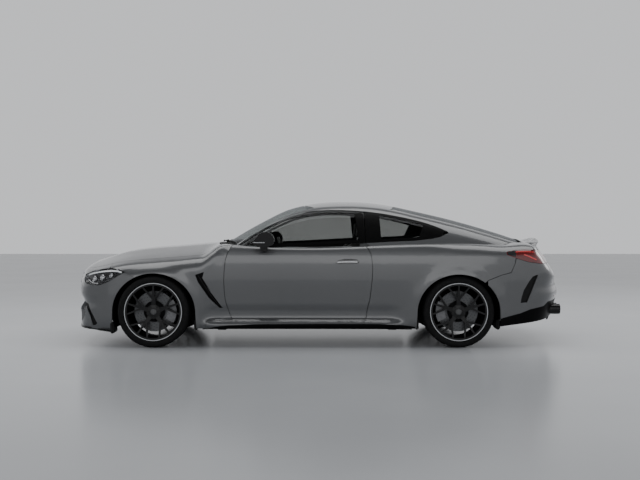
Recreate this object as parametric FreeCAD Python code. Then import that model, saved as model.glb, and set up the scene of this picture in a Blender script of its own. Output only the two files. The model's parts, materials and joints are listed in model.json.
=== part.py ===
import FreeCAD, Part
import math
import os

V = FreeCAD.Vector

# Full-size coupe car. Millimetres. X runs to the rear, Y to the car's right, Z up, ground at Z 0.

# Overall sizes
LENGTH = 4852.0
NOSE_X = -LENGTH / 2
TAIL_X = LENGTH / 2
FRONT_WHEEL_X = -1570.0
REAR_WHEEL_X = 1307.0
FRONT_WHEEL_Y = 822.0
REAR_WHEEL_Y = 812.0
FRONT_TYRE_R = 337.0
REAR_TYRE_R = 336.0
FRONT_TYRE_WIDTH = 265.0
REAR_TYRE_WIDTH = 285.0
RIM_R = 254.0
FLANGE_R = 272.0
DISC_R = 192.0

# Thicknesses of panels
SKIN = 26.0
DOOR_THICK = 62.0
RAIL_THICK = 42.0
ROOF_THICK = 30.0
GLASS_IN = 2.0
GLASS_THICK = 5.0

# Clearances
SHUT = 5.0
DOOR_REAR_SHUT = 7.0
SEAT_GAP = 0.3
BUMPER_SHUT = 3.0

# Sills and lifting pads
SILL_DEPTH = 110.0
PAD_X = (-950.0, 700.0)
PAD_Y = 655.0
PAD_Z = 140.0
SILL_FRONT_X = -1075.0
SILL_TOP_Z = 252.0
SILL_BOTTOM_Z = 176.0

# Arches, as ellipses seen from the side
ARCH_Z = 332.0
FRONT_ARCH = (FRONT_WHEEL_X, 395.0, 368.0)
REAR_ARCH = (REAR_WHEEL_X, 390.0, 359.0)
ARCH_FLARE = 17.0


def spline(knots):
    xs = [k[0] for k in knots]
    ys = [k[1] for k in knots]
    n = len(xs)
    h = [xs[i + 1] - xs[i] for i in range(n - 1)]
    c = [0.0] * n
    d = [0.0] * n
    for i in range(1, n - 1):
        rhs = 6 * ((ys[i + 1] - ys[i]) / h[i] - (ys[i] - ys[i - 1]) / h[i - 1])
        m = 2 * (h[i - 1] + h[i]) - h[i - 1] * c[i - 1]
        c[i] = h[i] / m
        d[i] = (rhs - h[i - 1] * d[i - 1]) / m
    for i in range(n - 2, -1, -1):
        d[i] = d[i] - c[i] * d[i + 1]
    s0 = (ys[1] - ys[0]) / h[0] - h[0] * (2 * d[0] + d[1]) / 6
    s1 = (ys[-1] - ys[-2]) / h[-1] + h[-1] * (d[-2] + 2 * d[-1]) / 6

    def f(x):
        if x <= xs[0]:
            return ys[0] + s0 * (x - xs[0])
        if x >= xs[-1]:
            return ys[-1] + s1 * (x - xs[-1])
        i = 0
        while x > xs[i + 1]:
            i += 1
        a = (xs[i + 1] - x) / h[i]
        b = 1 - a
        bend = (a ** 3 - a) * d[i] + (b ** 3 - b) * d[i + 1]
        return a * ys[i] + b * ys[i + 1] + bend * h[i] * h[i] / 6

    return f


def smax(a, b, r):
    h = max(r - abs(a - b), 0.0)
    return max(a, b) + h * h / (4 * r)


def step(x, a, b):
    t = min(max((x - a) / (b - a), 0.0), 1.0)
    return t * t * (3 - 2 * t)


# Lines of the body
side_width = spline([(-2426, 832), (-2200, 858), (-1966, 896), (-1570, 934), (-1150, 922), (-600, 914),
                     (0, 918), (486, 926), (900, 940), (1307, 951), (1650, 944), (1900, 922),
                     (2150, 884), (2426, 828)])
side_upper = spline([(560, 0), (640, 0), (760, -8), (870, -27), (955, -62), (1040, -115)])
door_lower = spline([(130, -60), (165, -22), (195, 2), (225, 4), (255, -26), (295, -44), (345, -40),
                     (400, -20), (440, -12), (520, -4), (600, 0)])
end_lower = spline([(130, -55), (200, -28), (300, -12), (420, -5), (520, 0), (600, 0)])
top_line = spline([(-2426, 690), (-2359, 754), (-2198, 824), (-1994, 886), (-1673, 936), (-1318, 963),
                   (-1100, 981), (-950, 985), (-600, 972), (0, 962), (450, 976), (900, 992),
                   (1400, 996), (1800, 1008), (1990, 1020), (2092, 990), (2152, 967), (2215, 982), (2270, 1014)])
nose_line = spline([(130, 46), (180, 22), (300, 14), (370, 16), (422, 42), (472, 10), (520, 0),
                    (600, -1), (680, 4), (740, 24), (800, 70)])
tail_line = spline([(150, -120), (240, -80), (340, -44), (440, -14), (500, 0), (565, -20), (630, -42),
                    (664, -52), (735, -90), (831, -145), (914, -190), (965, -208), (1015, -160)])
roof_line = spline([(-1100, 915), (-944, 991), (-732, 1115), (-527, 1226), (-346, 1312), (-160, 1363),
                    (0, 1388), (209, 1398), (430, 1393), (700, 1362), (921, 1316), (1354, 1214),
                    (1674, 1124), (1988, 1022), (2150, 960)])
glass_width = spline([(-1100, 780), (-836, 818), (-500, 834), (0, 838), (486, 834), (900, 812),
                      (1300, 768), (1700, 700), (2150, 600)])
PLAN_NOSE = 0.00025
PLAN_TAIL = 0.00022
PLAN_TAIL_LOW = 0.00034
PLAN_NOSE_LOW = 0.00022
BONNET_CROWN = 0.00020
ROOF_CROWN = 0.00020


def lower_body(x, y, z):
    y = abs(y)
    middle = step(x, -1170, -990) * (1 - step(x, 640, 860))
    if z > 600:
        under = side_upper(z)
    else:
        under = middle * door_lower(z) + (1 - middle) * end_lower(z)
    flare = 0.0
    for ax, ah, av in (FRONT_ARCH, REAR_ARCH):
        r = math.hypot((x - ax) / ah, (z - ARCH_Z) / av) * ah - ah
        flare += ARCH_FLARE * math.exp(-(max(r, 0.0) / 62.0) ** 2)
    w = side_width(x) + under + flare
    front = 1 - step(x, -1150, -930)
    crown = BONNET_CROWN * front + 0.00003 * (1 - front) + 0.00006 * step(x, 1400, 1950)
    bulge = 9 * math.exp(-((y - 330) / 110.0) ** 2) * front * step(x, -2330, -1900)
    lip_fade = step(x, 2080, 2250)
    top = top_line(x) - crown * y * y + bulge - lip_fade * 60 * (y / 760.0) ** 4
    plan_nose = PLAN_NOSE_LOW + (PLAN_NOSE - PLAN_NOSE_LOW) * step(z, 400, 520)
    plan_tail = PLAN_TAIL_LOW + (PLAN_TAIL - PLAN_TAIL_LOW) * step(z, 540, 690)
    nose = NOSE_X + nose_line(z) + plan_nose * y * y - x
    tail = x - (TAIL_X + tail_line(z) - plan_tail * y * y)
    side_top = smax(y - w, (z - top) * 0.98, 90 - 55 * step(x, -1000, -860) * (1 - step(x, 1000, 1400)))
    ends = smax(nose * 0.95, tail * 0.95, 1)
    lip = step(x, 1750, 2020) * step(z, 880, 960)
    return smax(side_top, ends, (150 if z < 700 else 110) - 78 * lip)


def glasshouse(x, y, z):
    y = abs(y)
    dz = z - 970
    w = glass_width(x) - 0.45 * dz - 0.00050 * dz * abs(dz)
    return smax((y - w) * 0.88, (z - roof_line(x) + ROOF_CROWN * y * y) * 0.92, 75)


def cast(body, start, ray, reach):
    lo = 0.0
    hi = reach
    flo = body(*start)
    fhi = body(start[0] + ray[0] * hi, start[1] + ray[1] * hi, start[2] + ray[2] * hi)
    for n in range(40):
        mid = hi - fhi * (hi - lo) / (fhi - flo) if n % 3 else (lo + hi) / 2
        mid = min(max(mid, lo + 1e-6), hi - 1e-6)
        f = body(start[0] + ray[0] * mid, start[1] + ray[1] * mid, start[2] + ray[2] * mid)
        if abs(f) < 0.004:
            break
        if f > 0:
            hi = mid
            fhi = f
        else:
            lo = mid
            flo = f
    return (start[0] + ray[0] * mid, start[1] + ray[1] * mid, start[2] + ray[2] * mid)


def normal(body, p):
    e = 4.0
    g = [body(*[p[k] + (e if k == a else 0) for k in range(3)])
         - body(*[p[k] - (e if k == a else 0) for k in range(3)]) for a in range(3)]
    n = math.sqrt(sum(v * v for v in g))
    return [v / n for v in g]


def sampled(body, rays, rows, cols):
    grid = []
    for row in rays:
        line = []
        for start, ray, reach in row:
            p = cast(body, start, ray, reach)
            line.append((p, normal(body, p), ray))
        grid.append(line)
    return rows, cols, grid


SQUARE_DEPTH = 14.0


def within(values, span):
    if span is None:
        return 0, len(values)
    inner = [i for i, v in enumerate(values) if span[0] <= v <= span[1]]
    return max(inner[0] - 2, 0), min(inner[-1] + 3, len(values))


def sheet(grid, depth):
    square = min(depth, SQUARE_DEPTH)
    rest = depth - square
    surface = Part.BSplineSurface()
    surface.interpolate([[V(*[p[k] - square * n[k] - rest * ray[k] for k in range(3)]) for p, n, ray in row]
                         for row in grid])
    return surface


def slab(sample, outer, inner, rows=None, cols=None):
    r0, r1 = within(sample[0], rows)
    c0, c1 = within(sample[1], cols)
    grid = [line[c0:c1] for line in sample[2][r0:r1]]
    a = sheet(grid, outer).toShape()
    b = sheet(grid, inner).toShape()
    faces = [a.Faces[0], b.Faces[0]]
    for i in range(4):
        ea = a.Edges[i]
        mid = ea.valueAt((ea.FirstParameter + ea.LastParameter) / 2)
        eb = min(b.Edges, key=lambda e: e.valueAt((e.FirstParameter + e.LastParameter) / 2).distanceToPoint(mid))
        faces.append(Part.makeRuledSurface(ea, eb))
    shell = Part.makeShell(faces)
    shell.sewShape()
    solid = Part.makeSolid(shell)
    solid.fix(0.01, 0.01, 0.01)
    if solid.Volume < 0:
        solid.reverse()
    return solid


def arc_range(a, b, n):
    return [a + (b - a) * i / (n - 1) for i in range(n)]


def shell_rays(xs, degrees, z0, reach=1500):
    return [[((x, 0, z0), (0, math.cos(math.radians(d)), math.sin(math.radians(d))), reach)
             for d in degrees] for x in xs]


def end_rays(x0, z0, sign, turns, lifts, reach=2500):
    rows = []
    for a in turns:
        row = []
        for e in lifts:
            ca = math.cos(math.radians(a))
            sa = math.sin(math.radians(a))
            ce = math.cos(math.radians(e))
            se = math.sin(math.radians(e))
            row.append(((x0, 0, z0), (sign * ca * ce, sa * ce, se), reach))
        rows.append(row)
    return rows


def fan_rays(base, xs, ys, z_start, z_aim, reach=900):
    share = (z_start - base[2]) / (z_aim - base[2])
    rows = []
    for x in xs:
        row = []
        for y in ys:
            aim = (x - base[0], y - base[1], z_aim - base[2])
            size = math.sqrt(sum(v * v for v in aim))
            start = tuple(b + share * a for b, a in zip(base, aim))
            row.append((start, tuple(a / size for a in aim), reach))
        rows.append(row)
    return rows


# Flat outlines and prisms
def wire(points, smooth=False, closed=True):
    vs = [V(*p) for p in points]
    if smooth:
        curve = Part.BSplineCurve()
        curve.interpolate(vs, PeriodicFlag=closed)
        return Part.Wire([curve.toShape()])
    if closed:
        vs.append(vs[0])
    return Part.makePolygon(vs)


def side_prism(points, y0, y1, smooth=False):
    w = wire([(p[0], y0, p[1]) for p in points], smooth)
    return Part.Face(w).extrude(V(0, y1 - y0, 0))


def plan_prism(points, z0, z1, smooth=False):
    w = wire([(p[0], p[1], z0) for p in points], smooth)
    return Part.Face(w).extrude(V(0, 0, z1 - z0))


def face_prism(points, x0, x1, smooth=False):
    w = wire([(x0, p[0], p[1]) for p in points], smooth)
    return Part.Face(w).extrude(V(x1 - x0, 0, 0))


def box(x0, x1, y0, y1, z0, z1):
    return Part.makeBox(x1 - x0, y1 - y0, z1 - z0, V(x0, y0, z0))


def tube(r, x, y0, y1, z):
    return Part.makeCylinder(r, y1 - y0, V(x, y0, z), V(0, 1, 0))


def grown(points, by):
    w = wire([(p[0], 0, p[1]) for p in points])
    big = w.makeOffset2D(by, 2, False, False, False)
    return [(v.X, v.Z) for v in big.OrderedVertexes]


def mirrored(shape):
    return shape.mirror(V(0, 0, 0), V(0, 1, 0))


def both(shape):
    return Part.makeCompound([shape, mirrored(shape)])


def solids(shape):
    keep = [s for s in shape.Solids if s.Volume > 400]
    return Part.makeCompound(keep) if len(keep) != 1 else keep[0]


def save(name, shape):
    shape = solids(shape)
    if not shape.isValid():
        shape.fix(0.01, 0.01, 0.1)
        shape = solids(shape)
    shape.exportStep("parts/" + name + ".step")
    bb = shape.BoundBox
    print(name, len(shape.Solids), shape.isValid(), round(shape.Volume / 1e6, 2),
          [round(v) for v in (bb.XMin, bb.XMax, bb.YMin, bb.YMax, bb.ZMin, bb.ZMax)], flush=True)


def arch_cut(arch, by=0.0):
    ax, ah, av = arch
    pts = [(ax + (ah + by) * math.cos(math.radians(a)), ARCH_Z + (av + by) * math.sin(math.radians(a)))
           for a in range(0, 181, 15)]
    pts = [(ax + ah + by + 14, 60)] + pts + [(ax - ah - by - 14, 60)]
    curve = Part.BSplineCurve()
    curve.interpolate([V(p[0], 0, p[1]) for p in pts[1:-1]])
    edges = [curve.toShape()]
    edges.append(Part.makeLine(V(pts[-2][0], 0, pts[-2][1]), V(pts[-1][0], 0, pts[-1][1])))
    edges.append(Part.makeLine(V(pts[-1][0], 0, pts[-1][1]), V(pts[0][0], 0, pts[0][1])))
    edges.append(Part.makeLine(V(pts[0][0], 0, pts[0][1]), V(pts[1][0], 0, pts[1][1])))
    face = Part.Face(Part.Wire(edges))
    return face.extrude(V(0, 1100, 0))


# Outlines seen from the side
headlamp_line = [(-2276, 677), (-2156, 719), (-2061, 735), (-1966, 741), (-1904, 734), (-1849, 708),
                 (-1898, 683), (-1983, 632), (-2052, 600), (-2111, 583), (-2179, 587), (-2238, 601),
                 (-2267, 633)]
door_front = [(-836, 958), (-868, 905), (-892, 828), (-902, 735), (-906, 640), (-902, 545), (-893, 450),
              (-872, 372), (-846, 292), (-826, 268)]
door_rear = [(430, 268), (446, 372), (466, 450), (478, 545), (488, 640), (493, 720), (491, 800),
             (478, 880), (450, 935), (424, 958)]
window_line = [(-836, 930), (-738, 1002), (-668, 1058), (-565, 1119), (-436, 1182), (-295, 1243),
               (-170, 1276), (-45, 1295), (80, 1303), (205, 1303), (330, 1297), (456, 1287),
               (580, 1272), (702, 1251), (823, 1228), (943, 1199), (1054, 1167), (1160, 1127),
               (1235, 1092), (1240, 1076), (1160, 1040), (1060, 1020), (900, 1004), (700, 995),
               (383, 980), (100, 966), (-165, 951), (-500, 938)]
GLASS_SPLIT_X = 424.0
bonnet_half = [(-2372, 0), (-2350, 300), (-2292, 520), (-2170, 655), (-2010, 708), (-1882, 728),
               (-1544, 738), (-1158, 740), (-1000, 742), (-952, 735)]
BONNET_REAR_X = -1030.0


def bonnet_outline(by):
    side = [(x, y + by * (0 if y == 0 else 1)) for x, y in bonnet_half]
    side = [(x - by * max(0.0, min(1.0, (-1900 - x) / 300.0)), y) for x, y in side]
    side[-1] = (side[-1][0] + by, side[-1][1])
    rear = [(BONNET_REAR_X + 0.000144 * y * y + by, y) for y in (500, 250, 0, -250, -500)]
    left = [(x, -y) for x, y in reversed(side[1:])]
    return side + rear + left


os.makedirs("parts", exist_ok=True)
print("surfaces", flush=True)


def graded(*runs):
    values = []
    for a, b, n in runs:
        values += [a + (b - a) * i / n for i in range(n)]
    return values + [runs[-1][1]]


turns = graded((-114, -60, 14), (-60, 60, 34), (60, 114, 14))
lifts = graded((-42, -20, 7), (-20, 24, 20), (24, 44, 7))
nose_grid = sampled(lower_body, end_rays(-1500, 450, -1, turns, lifts), turns, lifts)
turns = graded((-116, -50, 16), (-50, 50, 20), (50, 116, 16))
lifts = graded((-44, -30, 4), (-30, 26, 22), (26, 47, 16))
tail_grid = sampled(lower_body, end_rays(1500, 560, 1, turns, lifts), turns, lifts)
stations = graded((-2080, -1080, 22), (-1080, 800, 22), (800, 1800, 22), (1800, 2080, 5))
angles = graded((-42, -26, 5), (-26, -8, 14), (-8, 16, 8), (16, 36, 12), (36, 66, 8))
side_grid = sampled(lower_body, shell_rays(stations, angles, 560), stations, angles)
fan_x = arc_range(-2440, -880, 45)
fan_y = arc_range(-795, 795, 41)
bonnet_grid = sampled(lower_body, fan_rays((-1500, 0, -600), fan_x, fan_y, 450, 800), fan_x, fan_y)
stations = arc_range(-1090, 2120, 49)
angles = graded((-4, 20, 8), (20, 60, 20), (60, 120, 16), (120, 160, 20), (160, 184, 8))
glass_grid = sampled(glasshouse, shell_rays(stations, angles, 700), stations, angles)

print("panels", flush=True)
arches = arch_cut(FRONT_ARCH).fuse(arch_cut(REAR_ARCH))

# Bonnet
BONNET_AXIS = (-925.0, 955.0)
HINGE_Y = 540.0
HINGE_PLATE = 10.0
PIN_R = 6.0
ax, az = BONNET_AXIS
bonnet_arm = side_prism([(-1050, 938), (-1050, 918), (-990, 918), (ax + 3, az - 19), (ax + 15, az - 6),
                         (ax + 15, az + 7), (ax + 3, az + 14), (ax - 10, az + 12), (-960, 948), (-1000, 944)],
                        HINGE_Y, HINGE_Y + HINGE_PLATE)
bonnet_pin = tube(PIN_R, ax, HINGE_Y, HINGE_Y + 2 * HINGE_PLATE + 3, az)
bonnet_skin = slab(bonnet_grid, 0, SKIN)
bonnet = bonnet_skin.common(plan_prism(bonnet_outline(0), 500, 1100))
bonnet = bonnet.multiFuse([bonnet_arm, bonnet_pin, mirrored(bonnet_arm), mirrored(bonnet_pin)])
save("bonnet", bonnet)
bonnet_cut = plan_prism(bonnet_outline(SHUT), 560, 1200)

# Headlamps
nose_skin = slab(nose_grid, 0, SKIN + 4)
LAMP_TURNS = (14, 96)
LAMP_LIFTS = (2, 34)
lamp_slab = slab(nose_grid, 2, 70, LAMP_TURNS, LAMP_LIFTS)
lamp = lamp_slab.common(side_prism(headlamp_line, 300, 1000)).cut(bonnet_cut)
flange = slab(nose_grid, SKIN + 4 + SEAT_GAP, 60, LAMP_TURNS, LAMP_LIFTS).common(side_prism(grown(headlamp_line, 10), 300, 1000))
lamp = lamp.fuse(flange.cut(bonnet_cut).cut(box(-1880, -1500, 0, 1100, 0, 1200)))
save("headlamps", both(lamp))
lamp_cut = side_prism(grown(headlamp_line, 3.0), 300, 1000)

# Front bumper with its openings
bumper_side = [(-2600, 120), (-1700, 120), (-1700, 640), (-1768, 668), (-1846, 712),
               (-2000 - BUMPER_SHUT, 722), (-2000 - BUMPER_SHUT, 820), (-2600, 820)]
bumper_tool = side_prism(bumper_side, -1100, 1100)
grille_half = [(0, 512), (330, 512), (425, 520), (450, 545), (432, 590), (392, 655), (345, 690), (0, 702)]
lower_half = [(0, 196), (360, 196), (450, 205), (520, 250), (560, 330), (545, 392), (480, 418), (0, 430)]
slot_line = [(-2255, 418), (-2212, 404), (-2176, 330), (-2118, 222), (-2134, 205), (-2164, 200), (-2188, 290), (-2218, 350)]
side_intake = [(610, 215), (735, 240), (790, 300), (800, 400), (740, 425), (640, 405), (600, 330)]


def whole(half):
    return half + [(-y, z) for y, z in reversed(half) if y > 0]


grille_hole = face_prism(whole(grille_half), -2700, -2150)
grille_inner = face_prism(whole([(max(y - 2, 0) if y > 0 else 0, z + (-1 if z > 600 else 1)) for y, z in grille_half]),
                          -2700, -2150)
lower_hole = face_prism(whole(lower_half), -2700, -2150)
side_hole = face_prism(side_intake, -2700, -2080)
side_slot = side_prism(slot_line, 700, 1100)
front_bumper = nose_skin.common(bumper_tool)
chin = side_prism([(-2700, 190), (-2340, 190), (-1960, 150), (-1600, 150), (-1600, 0), (-2700, 0)], -1100, 1100)
front_bumper = front_bumper.cut(chin)
front_bumper = front_bumper.cut(bonnet_cut).cut(lamp_cut).cut(mirrored(lamp_cut))
front_bumper = front_bumper.cut(arches).cut(mirrored(arches))
front_bumper = front_bumper.cut(grille_hole).cut(lower_hole).cut(side_hole).cut(mirrored(side_hole))
front_bumper = front_bumper.cut(side_slot).cut(mirrored(side_slot))
save("front_bumper", front_bumper)

# Grille bars and intake meshes
back_skin = slab(nose_grid, SKIN + 5, SKIN + 14, (-52, 52), (-20, 20))
frame = back_skin.common(face_prism(whole([(y * 1.03, z + (12 if z > 600 else -12)) for y, z in grille_half]),
                                    -2700, -2150))
BAR_PITCH = 56.0
BAR_WIDTH = 15.0
bars = []
for i in range(-7, 8):
    y = i * BAR_PITCH
    heights = arc_range(500, 715, 9)
    x_front = [NOSE_X + nose_line(z) + PLAN_NOSE * y * y for z in heights]
    bar_line = [(x + 12, z) for x, z in zip(x_front, heights)]
    bar_line += [(x + 36, z) for x, z in reversed(list(zip(x_front, heights)))]
    bars.append(side_prism(bar_line, y - BAR_WIDTH / 2, y + BAR_WIDTH / 2).common(grille_inner))
save("front_grille", frame.cut(bonnet_cut).multiFuse([b for b in bars if b.Volume > 10]))
lower_mesh = back_skin.common(face_prism(whole([(y * 1.03, z + (7 if z > 300 else -12)) for y, z in lower_half]),
                                         -2700, -2150))
side_mesh = back_skin.common(face_prism([(y + (8 if y > 700 else -8), z + (8 if z > 320 else -8))
                                         for y, z in side_intake], -2700, -2080))
save("intake_grilles", Part.makeCompound([lower_mesh, side_mesh, mirrored(side_mesh)]))

# Cowl panel between bonnet and windscreen
COWL_HALF = 690.0
SCREEN_BASE = [(-990, 0), (-968, 250), (-900, 500), (-846, 650), (-832, COWL_HALF)]
cowl_front = [(BONNET_REAR_X + 0.000144 * y * y + SHUT + 3, y) for y in (0, 250, 500, COWL_HALF)]
cowl_half = cowl_front + [(x - 1.5, y) for x, y in reversed(SCREEN_BASE)]
cowl_outline = cowl_half + [(x, -y) for x, y in reversed(cowl_half) if y > 0]
cowl = slab(bonnet_grid, 7, 24, (-1060, -880)).common(plan_prism(cowl_outline, 600, 1200))
hinge_slot = box(-1040, BONNET_AXIS[0] + 30, HINGE_Y - 12, HINGE_Y + 30, 600, 1200)
cowl = cowl.cut(hinge_slot).cut(mirrored(hinge_slot))
save("cowl", cowl)

# Front fenders
side_skin = slab(side_grid, 0, SKIN, (-2050, -830))
fender_line = [(x + BUMPER_SHUT, z) for x, z in bumper_side[4:1:-1]]
fender_line += [(-1200, 120), (-1000, 160), (-850, 160), (-832, 266)]
fender_line += [(x - SHUT, z) for x, z in door_front[-2::-1]]
fender_line += [(-830, 1010), (-900, 1060), (-2000, 1060), (-2000, 745), (-1851, 740)]
fender = side_skin.common(side_prism(fender_line, 300, 1100)).cut(bonnet_cut).cut(arches).cut(lamp_cut)
vent = [(-1178, 685), (-1096, 712), (-1110, 655), (-1050, 548), (-930, 382), (-915, 371), (-951, 371),
        (-1050, 468), (-1150, 615)]
fender = fender.cut(side_prism(vent, 300, 1100))
fender = fender.cut(box(-1300, -800, 0, 1100, 0, SILL_BOTTOM_Z)).cut(box(SILL_FRONT_X - 3, -800, 0, 1100, 0, SILL_TOP_Z + 3)).cut(box(-1060, -700, 0, COWL_HALF + SEAT_GAP, 600, 1200))
save("front_fenders", both(fender))

# Doors
door_line = door_front[::-1] + [(-836, 1010), (424, 1010)] + door_rear[::-1]
door_cut_line = [(x - SHUT, z) for x, z in door_front[::-1]] + [(-841, 1015), (431, 1015)]
door_cut_line += [(x + DOOR_REAR_SHUT, z) for x, z in door_rear[::-1]]
door_cut_line = [(x, z - (SHUT if z < 270 else 0)) for x, z in door_cut_line]
DOOR_IN_Y = 772.0
DOOR_SPAN = ((-920, 500), (-24, 34))
door_slab = slab(side_grid, 0, DOOR_THICK, *DOOR_SPAN)
door = door_slab.common(side_prism(door_line, DOOR_IN_Y, 1100))
handle_line = [(150, 795), (158, 782), (340, 786), (364, 800), (366, 822), (352, 834), (180, 828), (156, 816)]
handle = slab(side_grid, -13, 1, (100, 400), (8, 22)).common(side_prism([(x, 793 + (z - 782) * 0.55) for x, z in handle_line], 700, 1100))
door = door.fuse(handle)
save("door_right", door)
save("door_left", mirrored(door))
door_zone = slab(side_grid, -2, DOOR_THICK + SHUT, (-930, 520), (-26, 40)).common(side_prism(door_cut_line, DOOR_IN_Y - 40, 1100))

# Side windows
glass_slab = slab(glass_grid, GLASS_IN, GLASS_IN + GLASS_THICK, (-880, 1300), (8, 60))
pane = glass_slab.common(side_prism(window_line, 300, 1100))
belt_tool = slab(side_grid, -SEAT_GAP, DOOR_THICK + 30, (-930, 1340), (0, 60))
door_glass = pane.common(box(-900, GLASS_SPLIT_X, 0, 1100, 800, 1400)).cut(belt_tool)
door_glass = door_glass.common(side_prism(grown(window_line, -6.5), 300, 1100).fuse(
    box(-820, GLASS_SPLIT_X, 0, 1100, 930, 1000).cut(box(-900, -790, 0, 1100, 940, 1100))))
save("door_glass_right", door_glass)
save("door_glass_left", mirrored(door_glass))
quarter = pane.common(box(GLASS_SPLIT_X + 8, 1300, 0, 1100, 800, 1400)).common(
    side_prism(grown(window_line, -0.4), 300, 1100)).cut(belt_tool)
save("quarter_windows", both(quarter))

# Roof, windscreen and rear window
roof_half = [(-160, 0), (-150, 200), (-118, 350), (-74, 480), (-52, 532), (60, 552), (300, 562), (520, 554),
             (690, 526), (716, 440), (742, 200), (752, 0)]
screen_half = [(-990, 0), (-968, 250), (-900, 500), (-846, 650), (-812, 728), (-500, 655), (-70, 538), (-92, 480),
               (-134, 350), (-165, 200), (-176, 0)]
rear_half = [(766, 0), (757, 200), (732, 440), (728, 500), (1000, 540), (1300, 556), (1700, 566), (1880, 556),
             (1960, 500), (1985, 300), (1992, 0)]


def plan_whole(half):
    inner = [(x, -y) for x, y in reversed(half) if y > 0]
    return half + inner


roof = slab(glass_grid, 0, ROOF_THICK, (-200, 800), (36, 144)).common(plan_prism(plan_whole(roof_half), 1000, 1500))
save("roof", roof)
windscreen = slab(glass_grid, GLASS_IN, GLASS_IN + GLASS_THICK, (-1050, 20), (10, 170)).common(plan_prism(plan_whole(screen_half), 880, 1500))
save("windscreen", windscreen)
rear_window = slab(glass_grid, GLASS_IN, GLASS_IN + GLASS_THICK, (690, 2040), (26, 154)).common(plan_prism(plan_whole(rear_half), 900, 1500))
save("rear_window", rear_window)
middle_half = [(-1100, 0), (-1100, 740), (-812, 728.5), (-500, 655.5), (-60, 539), (60, 553), (300, 563), (520, 555),
               (700, 527), (730, 501), (1000, 541), (1300, 557), (1700, 567), (1880, 557), (1990, 505),
               (2200, 500), (2200, 0)]
middle_tool = plan_prism(plan_whole(middle_half), 700, 1500)

# Body sides: pillars, roof rail, sill and quarter panel
rail_keep = [(-1000, 925), (-842, 925), (-800, 965), (420, 1000), (500, 930), (2040, 930), (2040, 1500),
             (-1000, 1500)]
rail = slab(glass_grid, 0, RAIL_THICK, (-1040, 2060), (4, 66)).common(side_prism(rail_keep, 300, 1100)).cut(middle_tool)
rail = rail.cut(side_prism(window_line, 300, 1100))
rail = rail.cut(slab(side_grid, -2.5, 60, (-1120, -800), (6, 60)).common(box(-1100, -826, 0, 1100, 0, 1200)))
post = slab(glass_grid, 14, 56, (330, 610), (12, 62)).common(side_prism([(380, 940), (560, 940), (560, 1330), (380, 1330)], 300, 1100))
tail_lamp_line = [(1765, 888), (1768, 902), (1844, 918), (1949, 923), (2078, 917), (2600, 905), (2600, 800),
                  (2100, 790), (1970, 807), (1844, 845), (1768, 873)]
tail_lamp_cut = side_prism(grown(tail_lamp_line, SEAT_GAP), 300, 1100)
ring_line = [(SILL_FRONT_X, SILL_BOTTOM_Z), (1307, SILL_BOTTOM_Z), (1307, 400), (1575, 634), (1712, 686), (1800, 709), (1838, 790),
             (1850, 850), (2100, 850), (2100, 1100), (640, 1100), (640, 1010), (SILL_FRONT_X, 1010)]
ring = slab(side_grid, 0, SILL_DEPTH, (-1100, 2080)).common(side_prism(ring_line, 300, 1100)).cut(door_zone)
inner_cabin = side_prism([(-800, 262), (-845, 500), (-850, 700), (-800, 1100), (380, 1100), (392, 700),
                          (386, 500), (380, 262)], 200, 1100)
ring = ring.cut(inner_cabin)
fender_zone = side_prism([(-3000, SILL_TOP_Z), (-828, SILL_TOP_Z)] + [(x - 2, z) for x, z in door_front[::-1]]
                         + [(-826, 1000), (-826, 1200), (-3000, 1200)], 0, 1100).common(
    slab(side_grid, -3, SKIN + 11, (-1100, -800)))
ring = ring.cut(side_prism([(-3000, SILL_TOP_Z), (-935, SILL_TOP_Z), (-935, 1200), (-3000, 1200)], 0, 1100))
ring = ring.cut(fender_zone)
quarter_inner = slab(side_grid, RAIL_THICK, 140, (600, 2080)).common(box(660, 2600, 0, 1100, 100, 1200))
ring = ring.cut(quarter_inner).cut(arches).cut(tail_lamp_cut)
lid_side_y = 600.0
ring = ring.cut(box(1960, 2600, 0, lid_side_y + SHUT, 0, 1300)).cut(box(600, 1961, 0, 640, 0, 1300))
ring = ring.cut(box(-3000, 660, 0, 700, 0, 1300))
rail = rail.cut(plan_prism([(1968, -700), (1968, 700), (2700, 700), (2700, -700)], 690, 1200).common(
    box(1900, 2700, -lid_side_y - SHUT, lid_side_y + SHUT, 600, 1300)))
post = post.cut(door_zone).cut(middle_tool)
ring = ring.cut(middle_tool)
side = ring.multiFuse([rail.cut(door_zone), post])
save("body_sides", both(side))

# Tail lamps, rear bumper, diffuser and boot lid
tail_skin = slab(tail_grid, 0, SKIN + 4)
tail_lamp_slab = slab(tail_grid, 1, 60, (20, 116), (4, 42))
lid_zone = box(1900, 2700, -lid_side_y - SHUT, lid_side_y + SHUT, 700 - SHUT, 1200)
lamp_band = tail_lamp_slab.common(side_prism(tail_lamp_line, 0, 1100))
tail_lamp = lamp_band.common(box(1700, 2700, lid_side_y + SHUT, 1100, 700, 1000))
save("tail_lamps", both(tail_lamp))
bumper_rear_line = [(1574, 120), (1579, 630), (1716, 682), (1804, 704), (1843, 790), (1856, 838), (1970, 803.5),
                    (2100, 786.5), (2700, 797), (2700, 120)]
rear_slot = [(2043, 682), (2062, 682), (1955, 425), (1892, 420), (1900, 470), (1922, 540), (1975, 625), (2010, 668)]
diffuser_line = [(1600, 100), (1600, 230), (1722, 280), (1890, 322), (1990, 360), (2130, 385), (2180, 425),
                 (2300, 435), (2700, 435), (2700, 100)]
rear_tool = side_prism(bumper_rear_line, -1100, 1100)
rear_shell = tail_skin.common(rear_tool).cut(arches).cut(mirrored(arches)).cut(lid_zone)
diffuser_tool = side_prism(diffuser_line, -1100, 1100)
rear_bumper = rear_shell.cut(diffuser_tool)
for slot in (side_prism(rear_slot, 700, 1100),):
    rear_bumper = rear_bumper.cut(slot).cut(mirrored(slot))
save("rear_bumper", rear_bumper)
TIP_R = 50.0
TIP_WALL = 6.0
TIP_END_X = 2336.0
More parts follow.
